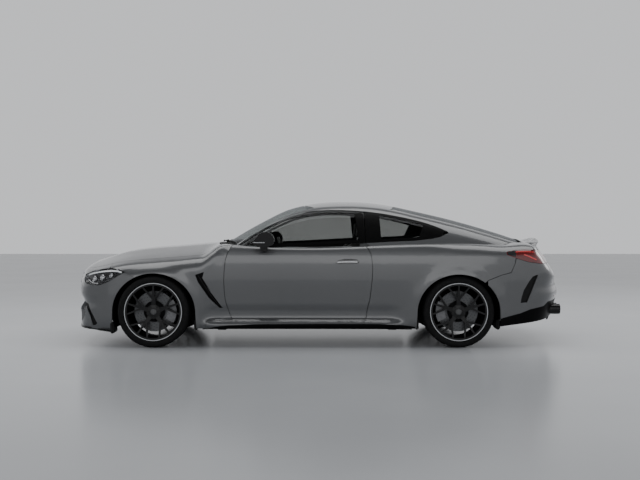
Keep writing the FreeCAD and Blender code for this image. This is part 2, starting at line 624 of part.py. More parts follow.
exhaust_pts = [(y, 338.0) for y in (500.0, 618.0)]
diffuser = rear_shell.common(side_prism([(x, z - 0.3) for x, z in diffuser_line], -1100, 1100))
rear_rise = side_prism([(1500, 180), (1640, 190), (2230, 262), (2700, 300), (2700, 0), (1500, 0)], -1100, 1100)
diffuser = diffuser.cut(rear_rise)
for y, z in exhaust_pts:
    hole = Part.makeCylinder(TIP_R + SEAT_GAP, 500, V(2100, y, z), V(1, 0, 0))
    diffuser = diffuser.cut(hole).cut(mirrored(hole))
fins = []
fin_slab = slab(tail_grid, -10, 4, (-30, 30), (-30, -8))
for i in range(-2, 3):
    y = i * 110.0
    fin = fin_slab.common(box(2150, 2500, y - 6, y + 6, 195, 330))
    fins.append(fin)
diffuser = diffuser.multiFuse(fins)
save("diffuser", diffuser)
lid_half = [(2001, 0), (1996, 300), (1978, 500), (1975, 560), (1985, lid_side_y), (2700, lid_side_y), (2700, 0)]
lid_tool = plan_prism(plan_whole(lid_half), 700, 1200)
LID_SPAN = ((-62, 62), (4, 47))
lid = slab(tail_grid, 0, SKIN, *LID_SPAN).common(lid_tool).cut(side_prism([(1700, 797), (2700, 797), (2700, 908), (1700, 908)],
                                                             -1100, 1100).common(box(2050, 2700, -1000, 1000, 0, 1200)))
lid_back = slab(tail_grid, 60 + SEAT_GAP, 74, *LID_SPAN).common(lid_tool).common(box(2000, 2700, -1000, 1000, 705, 960))
lid_in = slab(tail_grid, 4, 74, *LID_SPAN).common(lid_tool).common(box(2000, 2700, -1000, 1000, 905, 960))
lid_low = slab(tail_grid, 4, 74, *LID_SPAN).common(lid_tool).common(box(2000, 2700, -1000, 1000, 705, 797))
LID_AXIS = (1970.0, 1000.0)
LID_HINGE_Y = 60.0
ax, az = LID_AXIS
lid_arm = side_prism([(ax - 7, az + 6), (ax - 7, az - 45), (ax + 62, az - 45), (ax + 62, az - 4), (ax + 39, az - 4),
                      (ax + 39, az - 29), (ax + 7, az - 29), (ax + 7, az + 6)],
                     LID_HINGE_Y, LID_HINGE_Y + HINGE_PLATE)
lid_pin = tube(PIN_R, ax, LID_HINGE_Y, LID_HINGE_Y + 2 * HINGE_PLATE + 3, az)
lid = lid.multiFuse([lid_back, lid_in, lid_low, lid_arm, lid_pin, mirrored(lid_arm), mirrored(lid_pin)])
save("boot_lid", lid)
boot_lamp = slab(tail_grid, 1, 60, *LID_SPAN).common(side_prism([(1900, 797.3), (2700, 800), (2700, 904.7), (1900, 904.7)],
                                                     -1100, 1100)).common(
    box(2050, 2700, -lid_side_y, lid_side_y, 700, 1200))
save("boot_lamp", boot_lamp)
pipes = []
for y, z in exhaust_pts:
    tip = Part.makeCylinder(TIP_R, TIP_END_X - 2145, V(2145, y, z), V(1, 0, 0)).cut(
        Part.makeCylinder(TIP_R - TIP_WALL, 170, V(2200, y, z), V(1, 0, 0)))
    pipes += [tip, mirrored(tip)]
silencer = box(1960, 2150, 440, 668, 275, 410)
pipes += [silencer, mirrored(silencer)]
pipes.append(box(1930, 1980, -560, 560, 290, 350))
for y in (-60, 60):
    pipes.append(Part.makeCylinder(30, 3140, V(-1200, y, 225), V(1, 0, 0)))
    pipes.append(Part.makeCylinder(30, 120, V(1940, y, 225), V(0, 0, 1)))
exhaust = pipes[0].multiFuse(pipes[1:])
save("exhaust", exhaust)

# Wheels
def turned(profile, x, y, z, side):
    w = wire([(x, y + side * v, z + r) for r, v in profile])
    return Part.Face(w).revolve(V(x, y, z), V(0, 1, 0), 360)


def tyre_profile(r, width):
    h = width / 2
    return [(RIM_R + SEAT_GAP, -h + 14), (FLANGE_R + 2, -h + 12), (RIM_R + 0.55 * (r - RIM_R), -h),
            (r - 16, -h + 5), (r - 5, -h + 16), (r, -h + 34), (r, h - 34), (r - 5, h - 16), (r - 16, h - 5),
            (RIM_R + 0.55 * (r - RIM_R), h), (FLANGE_R + 2, h - 12), (RIM_R + SEAT_GAP, h - 14)]


def rim_barrel(width):
    h = width / 2
    return [(RIM_R, -h + 13.6), (FLANGE_R, -h + 11.5), (FLANGE_R, -h + 6), (RIM_R - 12, -h + 6),
            (RIM_R - 16, 0), (RIM_R - 8, h - 20), (RIM_R - 6, h - 6), (FLANGE_R, h - 6), (FLANGE_R, h - 11.5),
            (RIM_R, h - 13.6), (RIM_R, h - 30), (RIM_R - 8, h - 50), (RIM_R - 8, -h + 40), (RIM_R, -h + 24)]


SPOKES = 5
HUB_R = 66.0


def bar(r0, a0, w0, r1, a1, w1, v0, v1, t0, t1, side, x, y, z):
    def at(r, a, s):
        return (r * math.cos(a) - s * math.sin(a), r * math.sin(a) + s * math.cos(a))
    p0 = at(r0, math.radians(a0), 0)
    p1 = at(r1, math.radians(a1), 0)
    dx = p1[0] - p0[0]
    dz = p1[1] - p0[1]
    n = math.hypot(dx, dz)
    nx = -dz / n
    nz = dx / n
    ends = []
    for p, w, v, t in ((p0, w0, v0, t0), (p1, w1, v1, t1)):
        ends.append(wire([(x + p[0] + k * nx * w / 2, y + side * (v - d * t), z + p[1] + k * nz * w / 2)
                          for k, d in ((-1, 0), (1, 0), (1, 1), (-1, 1))]))
    return Part.makeLoft(ends, True, True)


def rim(width, x, y, z, side):
    face = width / 2 - 14
    parts = [turned(rim_barrel(width), x, y, z, side)]
    hub = turned([(0, face - 34), (0, face - 72), (96, face - 72), (100, face - 62), (HUB_R, face - 26),
                  (34, face - 18), (34, face - 24), (0, face - 24)], x, y, z, side)
    parts.append(hub)
    cap = turned([(0, face - 24), (0, face - 10), (22, face - 12), (30, face - 18), (30, face - 24)], x, y, z, side)
    parts.append(cap)
    for i in range(SPOKES):
        a = 90 + i * 360.0 / SPOKES
        parts.append(bar(52, a, 46, 138, a, 26, face - 26, face - 12, 44, 34, side, x, y, z))
        parts.append(bar(128, a, 24, RIM_R - 6, a, 15, face - 12, face, 34, 20, side, x, y, z))
        for k in (-1, 1):
            parts.append(bar(118, a + k * 2, 18, RIM_R - 6, a + k * 23, 15, face - 14, face, 32, 20,
                             side, x, y, z))
    solid = parts[0].multiFuse(parts[1:])
    nuts = []
    for i in range(SPOKES):
        a = math.radians(54 + i * 360.0 / SPOKES)
        nuts.append(tube(12, x + 56 * math.cos(a), y - 400, y + 400, z + 56 * math.sin(a)).common(
            turned([(30, face - 18), (30, face - 60), (80, face - 60), (80, face - 18)], x, y, z, side)))
    return solid.multiFuse([n for n in nuts if n.Volume > 1])


def disc(x, y, z, side, v0):
    return turned([(30, v0 - 8), (30, v0 + 2 - SEAT_GAP), (84, v0 + 2 - SEAT_GAP), (84, v0 - 10), (DISC_R, v0 - 10),
                   (DISC_R, v0 - 40), (90, v0 - 40), (90, v0 - 32), (78, v0 - 32), (78, v0 - 8)], x, y, z, side)


print("wheels", flush=True)
wheels = (("front", FRONT_WHEEL_X, FRONT_WHEEL_Y, FRONT_TYRE_R, FRONT_TYRE_WIDTH),
          ("rear", REAR_WHEEL_X, REAR_WHEEL_Y, REAR_TYRE_R, REAR_TYRE_WIDTH))
for end, x, y, r, width in wheels:
    tyre = turned(tyre_profile(r, width), x, y, r, 1)
    spokes = rim(width, x, y, r, 1)
    face = width / 2 - 14
    plate = disc(x, y, r, 1, face - 74)
    for name, shape in (("tyre", tyre), ("rim", spokes), ("disc", plate)):
        save(name + "_" + end + "_right", shape)
        save(name + "_" + end + "_left", mirrored(shape))

# Calipers: fronts behind the hub, rears ahead of it
def caliper(x, y, z, v0, a0, a1):
    ring = turned([(DISC_R - 66, v0 + 12), (DISC_R + 18, v0 + 8), (DISC_R + 22, v0 - 25), (DISC_R + 18, v0 - 62),
                   (DISC_R - 66, v0 - 66)], x, y, z, 1)
    slot = turned([(0, v0 - 4), (DISC_R + 6, v0 - 4), (DISC_R + 6, v0 - 46), (0, v0 - 46)], x, y, z, 1)
    wedge = [(x, z)] + [(x + 500 * math.cos(math.radians(a)), z + 500 * math.sin(math.radians(a)))
                        for a in arc_range(a0, a1, 5)]
    return ring.cut(slot).common(side_prism(wedge, 300, 1100))


front_v0 = FRONT_TYRE_WIDTH / 2 - 88
rear_v0 = REAR_TYRE_WIDTH / 2 - 88
front_caliper = caliper(FRONT_WHEEL_X, FRONT_WHEEL_Y, FRONT_TYRE_R, front_v0, -32, 32)
save("caliper_front_right", front_caliper)
save("caliper_front_left", mirrored(front_caliper))
rear_caliper = caliper(REAR_WHEEL_X, REAR_WHEEL_Y, REAR_TYRE_R, rear_v0, 152, 208)
save("rear_calipers", both(rear_caliper))


# Knuckles and axles
def upright(x, y, z, v0, half_height, ca):
    inner = y + v0 - 72
    hub = tube(58, x, inner - 20, y + v0 - 13, z)
    plate = box(x - 45, x + 45, inner - 30, inner, z - half_height, z + half_height)
    lug = box(min(x, x + ca * 190), max(x, x + ca * 190), inner - 30, inner, z - 60, z + 60)
    pad = box(min(x + ca * 140, x + ca * 196), max(x + ca * 140, x + ca * 196), inner, inner + 6 - SEAT_GAP, z - 50, z + 50)
    spindle = tube(30 - SEAT_GAP, x, inner, y + v0 + 2 - SEAT_GAP * 2, z)
    return hub.multiFuse([plate, lug, pad, spindle])


KINGPIN_Y = 800.0
KINGPIN_R = 12.0
ARM_LEVELS = ((196.0, 222.0), (440.0, 464.0))
knuckle = upright(FRONT_WHEEL_X, FRONT_WHEEL_Y, FRONT_TYRE_R, front_v0, 95, 1)
kingpin = Part.makeCylinder(KINGPIN_R, ARM_LEVELS[1][1] - ARM_LEVELS[0][0],
                            V(FRONT_WHEEL_X, KINGPIN_Y, ARM_LEVELS[0][0]))
knuckle = knuckle.fuse(kingpin)
save("knuckle_right", knuckle)
save("knuckle_left", mirrored(knuckle))
rear_upright = upright(REAR_WHEEL_X, REAR_WHEEL_Y, REAR_TYRE_R, rear_v0, 150, -1)

front_inner = FRONT_WHEEL_Y + front_v0 - 102
ENGINE_HALF = 290.0
arms = [box(FRONT_WHEEL_X - 160, FRONT_WHEEL_X + 160, -340, 340, 170, 230)]
ARM_END_R = 20.0
RAIL_TOP_Z = 430.0
bores = []
for s in (-1, 1):
    for z0, z1 in ARM_LEVELS:
        y0, y1 = sorted((s * 330, s * KINGPIN_Y))
        arms.append(box(FRONT_WHEEL_X - ARM_END_R, FRONT_WHEEL_X + ARM_END_R, y0, y1, z0, z1))
        arms.append(Part.makeCylinder(ARM_END_R, z1 - z0, V(FRONT_WHEEL_X, s * KINGPIN_Y, z0)))
    bores.append(Part.makeCylinder(KINGPIN_R + SEAT_GAP, 600, V(FRONT_WHEEL_X, s * KINGPIN_Y, 0)))
    y0, y1 = sorted((s * (ENGINE_HALF + SEAT_GAP), s * 340))
    arms.append(box(FRONT_WHEEL_X - 60, FRONT_WHEEL_X + 60, y0, y1, 200, 500))
    y0, y1 = sorted((s * 404, s * 436))
    arms.append(box(FRONT_WHEEL_X - ARM_END_R, FRONT_WHEEL_X + ARM_END_R, y0, y1, RAIL_TOP_Z + SEAT_GAP, 441))
save("front_axle", arms[0].multiFuse(arms[1:]).cut(bores[0]).cut(bores[1]))
rear_inner = REAR_WHEEL_Y + rear_v0 - 102
arms = [box(REAR_WHEEL_X - 190, REAR_WHEEL_X + 190, -340, 340, 262, 330)]
arms.append(tube(90, REAR_WHEEL_X, -110, 110, REAR_TYRE_R + 20))
for s in (-1, 1):
    y0, y1 = sorted((s * 330, s * (rear_inner + 2)))
    arms.append(box(REAR_WHEEL_X - 40, REAR_WHEEL_X + 40, y0, y1, 215, 245))
    arms.append(box(REAR_WHEEL_X - 34, REAR_WHEEL_X + 34, y0, y1, 440, 462))
    arms.append(tube(24, REAR_WHEEL_X, y0, y1, REAR_TYRE_R))
    arms.append(box(REAR_WHEEL_X - 60, REAR_WHEEL_X + 60, *sorted((s * 300, s * 340)), 215, 470))
rear_axle = arms[0].multiFuse(arms[1:] + [rear_upright, mirrored(rear_upright)])
save("rear_axle", rear_axle)

# Engine, underbody
engine = box(-1930, -1240, -ENGINE_HALF, ENGINE_HALF, 262, 740)
save("engine", engine)


def housing(x, z, r, y0, y1):
    outer = tube(r + 10, x, y0, y1, z).cut(tube(r, x, y0 + 10, y1 + 10, z))
    return outer.cut(box(x - r - 20, x + r + 20, 0, 1100, z - 600, z - 150))


FLOOR_Z0 = 152.0
FLOOR_Z1 = 186.0
TUNNEL_Z = 330.0
SEAT_BASE_Z = 380.0
FIREWALL_X = (-1012.0, -985.0)
BOOT_X0 = 724.0
BOOT_HALF = 480.0
sill_tool = slab(side_grid, -90, SILL_DEPTH + SEAT_GAP, (-1300, 1100), (-42, 0)).common(box(-1400, 1100, 0, 1100, 60, 300))
tunnel_hollow = box(-1140, 1000, -110, 110, 100, TUNNEL_Z - 40)
floor = [box(-1130, 880, -900, 900, FLOOR_Z0, FLOOR_Z1).cut(sill_tool).cut(mirrored(sill_tool)),
         box(-1000, 760, -130, 130, FLOOR_Z1, TUNNEL_Z)]
for x in PAD_X:
    for y in (-PAD_Y, PAD_Y):
        floor.append(box(x - 40, x + 40, y - 30, y + 30, PAD_Z, FLOOR_Z0))
floor.append(box(*FIREWALL_X, -760, 760, FLOOR_Z1, 905))
floor.append(box(BOOT_X0 - 24, BOOT_X0, -700, 700, FLOOR_Z1, SEAT_BASE_Z - SEAT_GAP))
ax, az = BONNET_AXIS
bracket = side_prism([(FIREWALL_X[0], 895), (FIREWALL_X[1], 895), (ax + 10, az - 20), (ax + 14, az), (ax + 7, az + 13),
                      (ax - 7, az + 13), (ax - 15, az), (FIREWALL_X[0], 905)],
                     HINGE_Y + HINGE_PLATE + 3, HINGE_Y + 2 * HINGE_PLATE + 3)
bracket = bracket.cut(tube(PIN_R + SEAT_GAP, ax, 0, 1000, az))
floor += [bracket, mirrored(bracket)]
save("floor_pan", floor[0].multiFuse(floor[1:]).cut(tunnel_hollow))

# Front rails and bumper beam
rails = [box(-2290, -2200, -440, 440, 330, 480)]
for s in (-1, 1):
    rails.append(box(-2200, FIREWALL_X[0], *sorted((s * 400, s * 440)), 330, RAIL_TOP_Z))
    rails.append(box(-2150, FIREWALL_X[0], *sorted((s * 440, s * 452)), 330, 700))


def shaft_holes(shape):
    for x, r in ((FRONT_WHEEL_X, FRONT_TYRE_R), (REAR_WHEEL_X, REAR_TYRE_R)):
        for y in (439, -492):
            shape = shape.cut(tube(175, x, y, y + 53, r).common(box(x - 60, x + 60, -600, 600, 100, 600)))
    return shape


save("front_rails", shaft_holes(rails[0].multiFuse(rails[1:])))

# Boot floor, walls and rear beam
lid_corner = box(1955, 2700, -lid_side_y - SHUT, lid_side_y + SHUT, 690, 1200)
tub = [box(BOOT_X0, 1009, -BOOT_HALF, BOOT_HALF, SEAT_BASE_Z - 24, SEAT_BASE_Z - SEAT_GAP),
       box(985, 1009, -BOOT_HALF, BOOT_HALF, SEAT_BASE_Z - 24, 494), box(985, 2240, -BOOT_HALF, BOOT_HALF, 470, 494),
       box(1195, 1950, -468, 468, 880, 900), box(2200, 2295, -430, 430, 470, 620)]
for s in (-1, 1):
    tub.append(box(985, 1900, *sorted((s * 420, s * BOOT_HALF)), 370, 430))
    tub.append(box(1800, 1900, *sorted((s * 420, s * BOOT_HALF)), 430, 470))
    tub.append(box(BOOT_X0, 2200, *sorted((s * 468, s * BOOT_HALF)), 494, 900))
stub = box(2290, 2450, 240, 340, 520, 600).cut(slab(tail_grid, -60, SKIN + 4 + SEAT_GAP, (0, 40), (-12, 12)))
stub = max(stub.Solids, key=lambda q: q.Volume)
ax, az = LID_AXIS
lid_bracket = side_prism([(1900, 885), (1950, 885), (ax + 12, az - 14), (ax + 8, az + 9), (ax - 8, az + 9),
                          (ax - 16, az - 14), (1900, 900)],
                         LID_HINGE_Y + HINGE_PLATE + 3, LID_HINGE_Y + 2 * HINGE_PLATE + 3)
lid_bracket = lid_bracket.cut(tube(PIN_R + SEAT_GAP, ax, 0, 1000, az))
tub += [stub, mirrored(stub)]
tub = shaft_holes(tub[0].multiFuse(tub[1:]).cut(lid_corner))
save("boot_tub", tub.multiFuse([lid_bracket, mirrored(lid_bracket)]))

# Wheel housings
front_arch_tool = slab(side_grid, -60, SKIN + SEAT_GAP, (-2060, -1080))
nose_arch_tool = slab(nose_grid, -60, SKIN + 4 + SEAT_GAP, (50, 114), (-42, 30)).common(box(-2600, -1690, 0, 1100, 60, 760))
rear_arch_tool = slab(side_grid, -60, RAIL_THICK + SEAT_GAP, (820, 1800))
FRONT_HOUSING_R = 396.0
REAR_HOUSING_R = 392.0
w1 = housing(FRONT_WHEEL_X, ARCH_Z, FRONT_HOUSING_R, 452, 930)
w1 = w1.cut(front_arch_tool).cut(nose_arch_tool).cut(sill_tool)
w2 = housing(REAR_WHEEL_X, ARCH_Z, REAR_HOUSING_R, BOOT_HALF, 940).cut(rear_arch_tool).cut(sill_tool)
save("front_housings", both(shaft_holes(w1)))
save("rear_housings", both(shaft_holes(w2)))

# Cabin furniture
DRIVER_Y = -370.0
dash = side_prism([(-985, 560), (-985, 890), (-700, 930), (-520, 905), (-480, 860), (-500, 760), (-640, 640),
                   (-760, 560)], -690, 690)
console = side_prism([(-700, 330.3), (-700, 600), (-300, 520), (100, 520), (140, 330.3)], -120, 120)
SW = V(-350, DRIVER_Y, 860)
COLUMN_R = 24.0
COLUMN_TILT = 68.0
column_bore = Part.makeCylinder(COLUMN_R + SEAT_GAP, 80, V(0, 0, -190))
column_bore.rotate(V(0, 0, 0), V(0, 1, 0), COLUMN_TILT)
column_bore.translate(SW)
save("dashboard", dash.fuse(console).cut(column_bore))
seats = []
for y in (DRIVER_Y, -DRIVER_Y):
    cushion = side_prism([(-330, 300), (-330, 470), (-200, 490), (150, 440), (180, 300)], y - 235, y + 235)
    back = side_prism([(60, 400), (100, 320), (250, 320), (420, 960), (360, 990), (290, 960)], y - 230, y + 230)
    head = side_prism([(345, 1010), (440, 1010), (460, 1180), (390, 1195)], y - 120, y + 120)
    stalk = side_prism([(375, 940), (400, 940), (410, 1040), (385, 1040)], y - 50, y + 50)
    mount = box(-280, 150, y - 190, y + 190, 186 + SEAT_GAP, 320)
    seats.append(cushion.multiFuse([back, head, stalk, mount]))
save("front_seats", Part.makeCompound(seats))
bench = side_prism([(470, 186.3), (440, 470), (800, 430), (1060, 900), (1150, 915), (1190, 880), (970, 500), (860, 380),
                    (696, 380), (696, 186.3)], -460, 460)
bench = bench.cut(box(400, 800, -130 - SEAT_GAP, 130 + SEAT_GAP, 100, TUNNEL_Z + SEAT_GAP))
save("rear_seat", bench)
wheel = Part.makeTorus(178, 15, V(0, 0, 0), V(0, 0, 1))
hub = Part.makeCylinder(52, 40, V(0, 0, -30))
wheel = wheel.multiFuse([hub, Part.makeBox(356, 34, 12, V(-178, -17, -8)), Part.makeBox(34, 178, 12, V(-17, -178, -8)),
                         Part.makeCylinder(COLUMN_R, 165, V(0, 0, -185))])
wheel.rotate(V(0, 0, 0), V(0, 1, 0), COLUMN_TILT)
wheel.translate(SW)
save("steering_wheel", wheel)

# Mirrors
mirror_line = [(-628, 985), (-604, 1026), (-560, 1072), (-510, 1090), (-470, 1080), (-436, 1040), (-432, 985),
               (-500, 950), (-600, 960)]
shell = side_prism(mirror_line, 880, 1015, True)
foot = side_prism([(-560, 905), (-500, 905), (-490, 975), (-570, 975)], 850, 925)
mirror = shell.fuse(foot).cut(slab(side_grid, -SEAT_GAP, 60, (-680, -380), (8, 44)))
save("mirror_right", mirror)
save("mirror_left", mirrored(mirror))
print("done", flush=True)
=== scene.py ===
import json
import math

import bmesh
import bpy
import numpy as np
from mathutils import Matrix, Vector
from mathutils.bvhtree import BVHTree
from mathutils.geometry import delaunay_2d_cdt


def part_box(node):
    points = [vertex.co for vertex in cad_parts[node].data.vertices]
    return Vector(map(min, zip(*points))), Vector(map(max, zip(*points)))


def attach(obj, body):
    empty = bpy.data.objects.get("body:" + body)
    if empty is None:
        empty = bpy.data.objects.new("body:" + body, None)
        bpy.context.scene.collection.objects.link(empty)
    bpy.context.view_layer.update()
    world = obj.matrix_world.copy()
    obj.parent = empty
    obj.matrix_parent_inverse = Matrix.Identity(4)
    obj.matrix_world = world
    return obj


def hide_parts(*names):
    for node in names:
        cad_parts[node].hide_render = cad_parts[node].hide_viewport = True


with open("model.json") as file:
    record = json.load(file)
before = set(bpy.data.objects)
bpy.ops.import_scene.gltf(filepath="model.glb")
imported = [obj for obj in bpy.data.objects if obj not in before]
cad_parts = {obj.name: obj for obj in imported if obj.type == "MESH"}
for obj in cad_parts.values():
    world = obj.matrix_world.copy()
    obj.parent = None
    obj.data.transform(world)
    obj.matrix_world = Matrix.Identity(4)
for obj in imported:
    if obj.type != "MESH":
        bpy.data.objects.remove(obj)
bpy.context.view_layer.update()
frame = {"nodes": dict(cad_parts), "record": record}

nodes = frame["nodes"]
SIDES = (("left", -1), ("right", 1))

# Wheels in metres: x and y of the centre, radius and width of the tyre
FRONT_WHEEL = (-1.570, 0.822, 0.337, 0.265)
REAR_WHEEL = (1.307, 0.812, 0.336, 0.285)
WHEELS = [(end + "_" + s, x, k * y, r, w, k) for s, k in SIDES
          for end, (x, y, r, w) in (("front", FRONT_WHEEL), ("rear", REAR_WHEEL))]


# Materials
class Nodes:
    """A node tree, with short ways to add nodes to it."""

    def __init__(self, tree, coord):
        self.tree = tree
        self.coord = self.node("TexCoord").outputs[coord]

    def node(self, kind, **values):
        n = self.tree.nodes.new("ShaderNode" + kind)
        for key, value in values.items():
            setattr(n, key, value)
        return n

    def link(self, a, b):
        self.tree.links.new(a, b)

    def split(self, vector):
        n = self.node("SeparateXYZ")
        self.link(vector, n.inputs[0])
        return n.outputs

    def noise(self, scale, detail=2.0, rough=0.5):
        n = self.node("TexNoise")
        n.inputs["Scale"].default_value = scale
        n.inputs["Detail"].default_value = detail
        n.inputs["Roughness"].default_value = rough
        self.link(self.coord, n.inputs["Vector"])
        return n.outputs["Fac"]

    def cells(self, scale, **values):
        n = self.node("TexVoronoi", **values)
        n.inputs["Scale"].default_value = scale
        self.link(self.coord, n.inputs["Vector"])
        return n

    def ramp(self, value, a, b, low=0.35, high=0.65):
        n = self.node("MapRange")
        for i, v in ((1, low), (2, high), (3, a), (4, b)):
            n.inputs[i].default_value = v
        self.link(value, n.inputs[0])
        return n.outputs[0]

    def mottle(self, scale, detail=2.0):
        return self.ramp(self.noise(scale, detail), 0.0, 1.0)

    def maths(self, kind, a, b=None):
        n = self.node("Math", operation=kind)
        for i, v in enumerate((a, b)):
            if v is None:
                continue
            if isinstance(v, (int, float)):
                n.inputs[i].default_value = v
            else:
                self.link(v, n.inputs[i])
        return n.outputs[0]

    def times(self, a, b):
        return self.maths("MULTIPLY", a, b)

    def plus(self, a, b):
        return self.maths("ADD", a, b)

    def wave(self, value, rate):
        return self.maths("SINE", self.times(value, rate))

    def polar(self, x, z):
        """Radius and angle about a wheel's axle, and the place along it."""
        place = self.split(self.coord)
        dx = self.maths("SUBTRACT", place[0], x)
        dz = self.maths("SUBTRACT", place[2], z)
        r = self.maths("SQRT", self.plus(self.times(dx, dx), self.times(dz, dz)))
        return r, self.maths("ARCTAN2", dz, dx), place[1]

    def blend(self, fac, a, b):
        n = self.node("Mix", data_type="RGBA")
        self.link(fac, n.inputs["Factor"])
        for socket, v in ((n.inputs["A"], a), (n.inputs["B"], b)):
            if isinstance(v, tuple):
                socket.default_value = (*v, 1.0)
            else:
                self.link(v, socket)
        return n.outputs["Result"]


class Shader(Nodes):
    """A procedural material."""

    def __init__(self, name):
        self.mat = bpy.data.materials.new(name)
        self.mat.use_nodes = True
        super().__init__(self.mat.node_tree, "Object")
        self.bsdf = self.tree.nodes["Principled BSDF"]
        self.out = self.tree.nodes["Material Output"]

    def put(self, **values):
        for key, value in values.items():
            name = key.replace("_", " ").title().replace("Ior", "IOR")
            self.bsdf.inputs[name].default_value = value

    def colour(self, value):
        self.link(value, self.bsdf.inputs["Base Color"])

    def rough(self, value):
        self.link(value, self.bsdf.inputs["Roughness"])

    def bump(self, height, strength, distance):
        n = self.node("Bump")
        n.inputs["Strength"].default_value = strength
        n.inputs["Distance"].default_value = distance
        self.link(height, n.inputs["Height"])
        self.link(n.outputs["Normal"], self.bsdf.inputs["Normal"])


def tone(colour, by):
    return tuple(min(1.0, c * by) for c in colour)


def plain(name, colour, rough, vary=0.12, grain=60.0, bump=0.0, **values):
    """One colour with a light mottle in colour and roughness, and grain in relief if bump is set."""
    s = Shader(name)
    s.colour(s.blend(s.mottle(grain, 4.0), tone(colour, 1 - vary), tone(colour, 1 + vary)))
    s.rough(s.ramp(s.noise(grain * 0.4, 3.0), rough * 0.9, min(1.0, rough * 1.1)))
    if bump:
        s.bump(s.noise(900.0, 3.0, 0.6), bump, 0.0008)
    s.put(**values)
    return s.mat


def paint_base(s):
    """Grey that drifts a little over the body, with fine light flakes in it."""
    base = s.blend(s.mottle(1.1, 1.0), (0.088, 0.091, 0.095), (0.094, 0.097, 0.101))
    flake = s.ramp(s.noise(2600.0, 1.0), 0.0, 0.35, 0.52, 0.75)
    s.put(coat_roughness=0.09, coat_ior=1.5)
    return s.blend(flake, base, (0.17, 0.173, 0.18))


def paint_shader():
    s = Shader("paint_grey")
    s.colour(paint_base(s))
    s.rough(s.ramp(s.noise(5.0, 2.0), 0.34, 0.38))
    s.put(metallic=0.35, coat_weight=1.0)
    return s.mat


def lined_paint_shader():
    """The same paint outside, and black lining cloth on the faces that look into the car."""
    s = Shader("paint_grey_lined")
    base = paint_base(s)
    place = s.split(s.coord)
    turn = s.split(s.node("TexCoord").outputs["Normal"])
    across = s.times(turn[1], place[1])
    up = s.times(turn[2], s.maths("SUBTRACT", place[2], 0.75))
    inward = s.ramp(s.plus(across, up), 1.0, 0.0, -0.10, -0.06)
    lining = s.blend(s.mottle(500.0, 3.0), (0.010, 0.010, 0.010), (0.018, 0.017, 0.017))
    s.colour(s.blend(inward, base, lining))
    s.rough(s.ramp(inward, 0.36, 0.8, 0.0, 1.0))
    s.link(s.ramp(inward, 1.0, 0.0, 0.0, 1.0), s.bsdf.inputs["Coat Weight"])
    s.link(s.ramp(inward, 0.35, 0.0, 0.0, 1.0), s.bsdf.inputs["Metallic"])
    return s.mat


def glass_shader(name, clear, tint):
    """Thin tinted glass: clear is the share of light let through, and only outer faces mirror."""
    s = Shader(name)
    through = s.node("BsdfTransparent")
    s.link(s.blend(s.mottle(2.0, 1.0), tone(tint, clear * 0.98), tone(tint, clear * 1.02)),
           through.inputs["Color"])
    gloss = s.node("BsdfGlossy")
    gloss.inputs["Roughness"].default_value = 0.01
    gloss.inputs["Color"].default_value = (0.38, 0.39, 0.40, 1)
    fresnel = s.node("Fresnel")
    fresnel.inputs["IOR"].default_value = 1.45
    front = s.maths("SUBTRACT", 1.0, s.node("NewGeometry").outputs["Backfacing"])
    mix = s.node("MixShader")
    s.link(s.times(fresnel.outputs[0], front), mix.inputs[0])
    s.link(through.outputs[0], mix.inputs[1])
    s.link(gloss.outputs[0], mix.inputs[2])
    s.link(mix.outputs[0], s.out.inputs["Surface"])
    return s.mat


def rim_shader(name, x, z):
    """Black spokes with a bright outer ring and a dull cap."""
    s = Shader(name)
    r = s.polar(x, z)[0]
    ring = s.ramp(r, 0.0, 1.0, 0.2640, 0.2655)
    cap = s.ramp(r, 0.16, 0.0, 0.0285, 0.0300)
    bright = s.maths("MAXIMUM", ring, cap)
    grain = s.mottle(300.0, 3.0)
    black = s.blend(grain, (0.006, 0.006, 0.0065), (0.009, 0.009, 0.0095))
    silver = s.blend(grain, (0.46, 0.47, 0.48), (0.54, 0.55, 0.56))
    s.colour(s.blend(bright, black, silver))
    s.rough(s.ramp(bright, 0.34, 0.28, 0.0, 1.0))
    s.link(s.ramp(bright, 0.0, 1.0, 0.0, 1.0), s.bsdf.inputs["Metallic"])
    s.put(specular_ior_level=0.3)
    return s.mat


def disc_shader(name, x, z):
    """Turned steel with rows of drilled holes painted as dark spots, the painted shade inside them."""
    s = Shader(name)
    r, turn = s.polar(x, z)[:2]
    grain = s.ramp(s.wave(r, 5200.0), 0.0, 1.0, -1.0, 1.0)
    spiral = s.maths("SINE", s.plus(s.times(turn, 12.0), s.times(r, 120.0)))
    hole_shade = s.ramp(s.times(spiral, s.wave(r, 330.0)), 0.0, 1.0, 0.72, 0.80)
    face = s.blend(grain, (0.085, 0.087, 0.090), (0.125, 0.128, 0.132))
    # The holes are colour only: painted shade where the drilled holes would be
    s.colour(s.blend(hole_shade, face, (0.03, 0.03, 0.03)))
    s.rough(s.ramp(grain, 0.30, 0.42, 0.0, 1.0))
    s.put(metallic=0.9)
    return s.mat


def tyre_shader(name, x, z, r_out):
    """Rubber with a ribbed band on the side wall and slanted cuts in the tread."""
    s = Shader(name)
    r, turn, along = s.polar(x, z)
    s.colour(s.blend(s.mottle(350.0, 4.0), (0.004, 0.004, 0.0042), (0.008, 0.008, 0.0083)))
    s.rough(s.ramp(s.noise(40.0, 3.0), 0.66, 0.84))
    s.put(specular_ior_level=0.2)
    band = s.times(s.ramp(r, 0.0, 1.0, 0.284, 0.286), s.ramp(r, 1.0, 0.0, 0.292, 0.294))
    ribs = s.times(s.wave(turn, 620.0), band)
    slant = s.maths("SINE", s.plus(s.times(turn, 150.0), s.times(along, 90.0)))
    tread = s.ramp(r, 0.0, 1.0, r_out - 0.010, r_out - 0.006)
    cuts = s.times(tread, s.ramp(slant, 1.0, 0.0, -0.95, -0.75))
    height = s.maths("SUBTRACT", s.times(ribs, 0.35), s.times(cuts, 2.0))
    s.bump(s.plus(height, s.times(s.noise(900.0, 3.0), 0.3)), 0.7, 0.0012)
    return s.mat


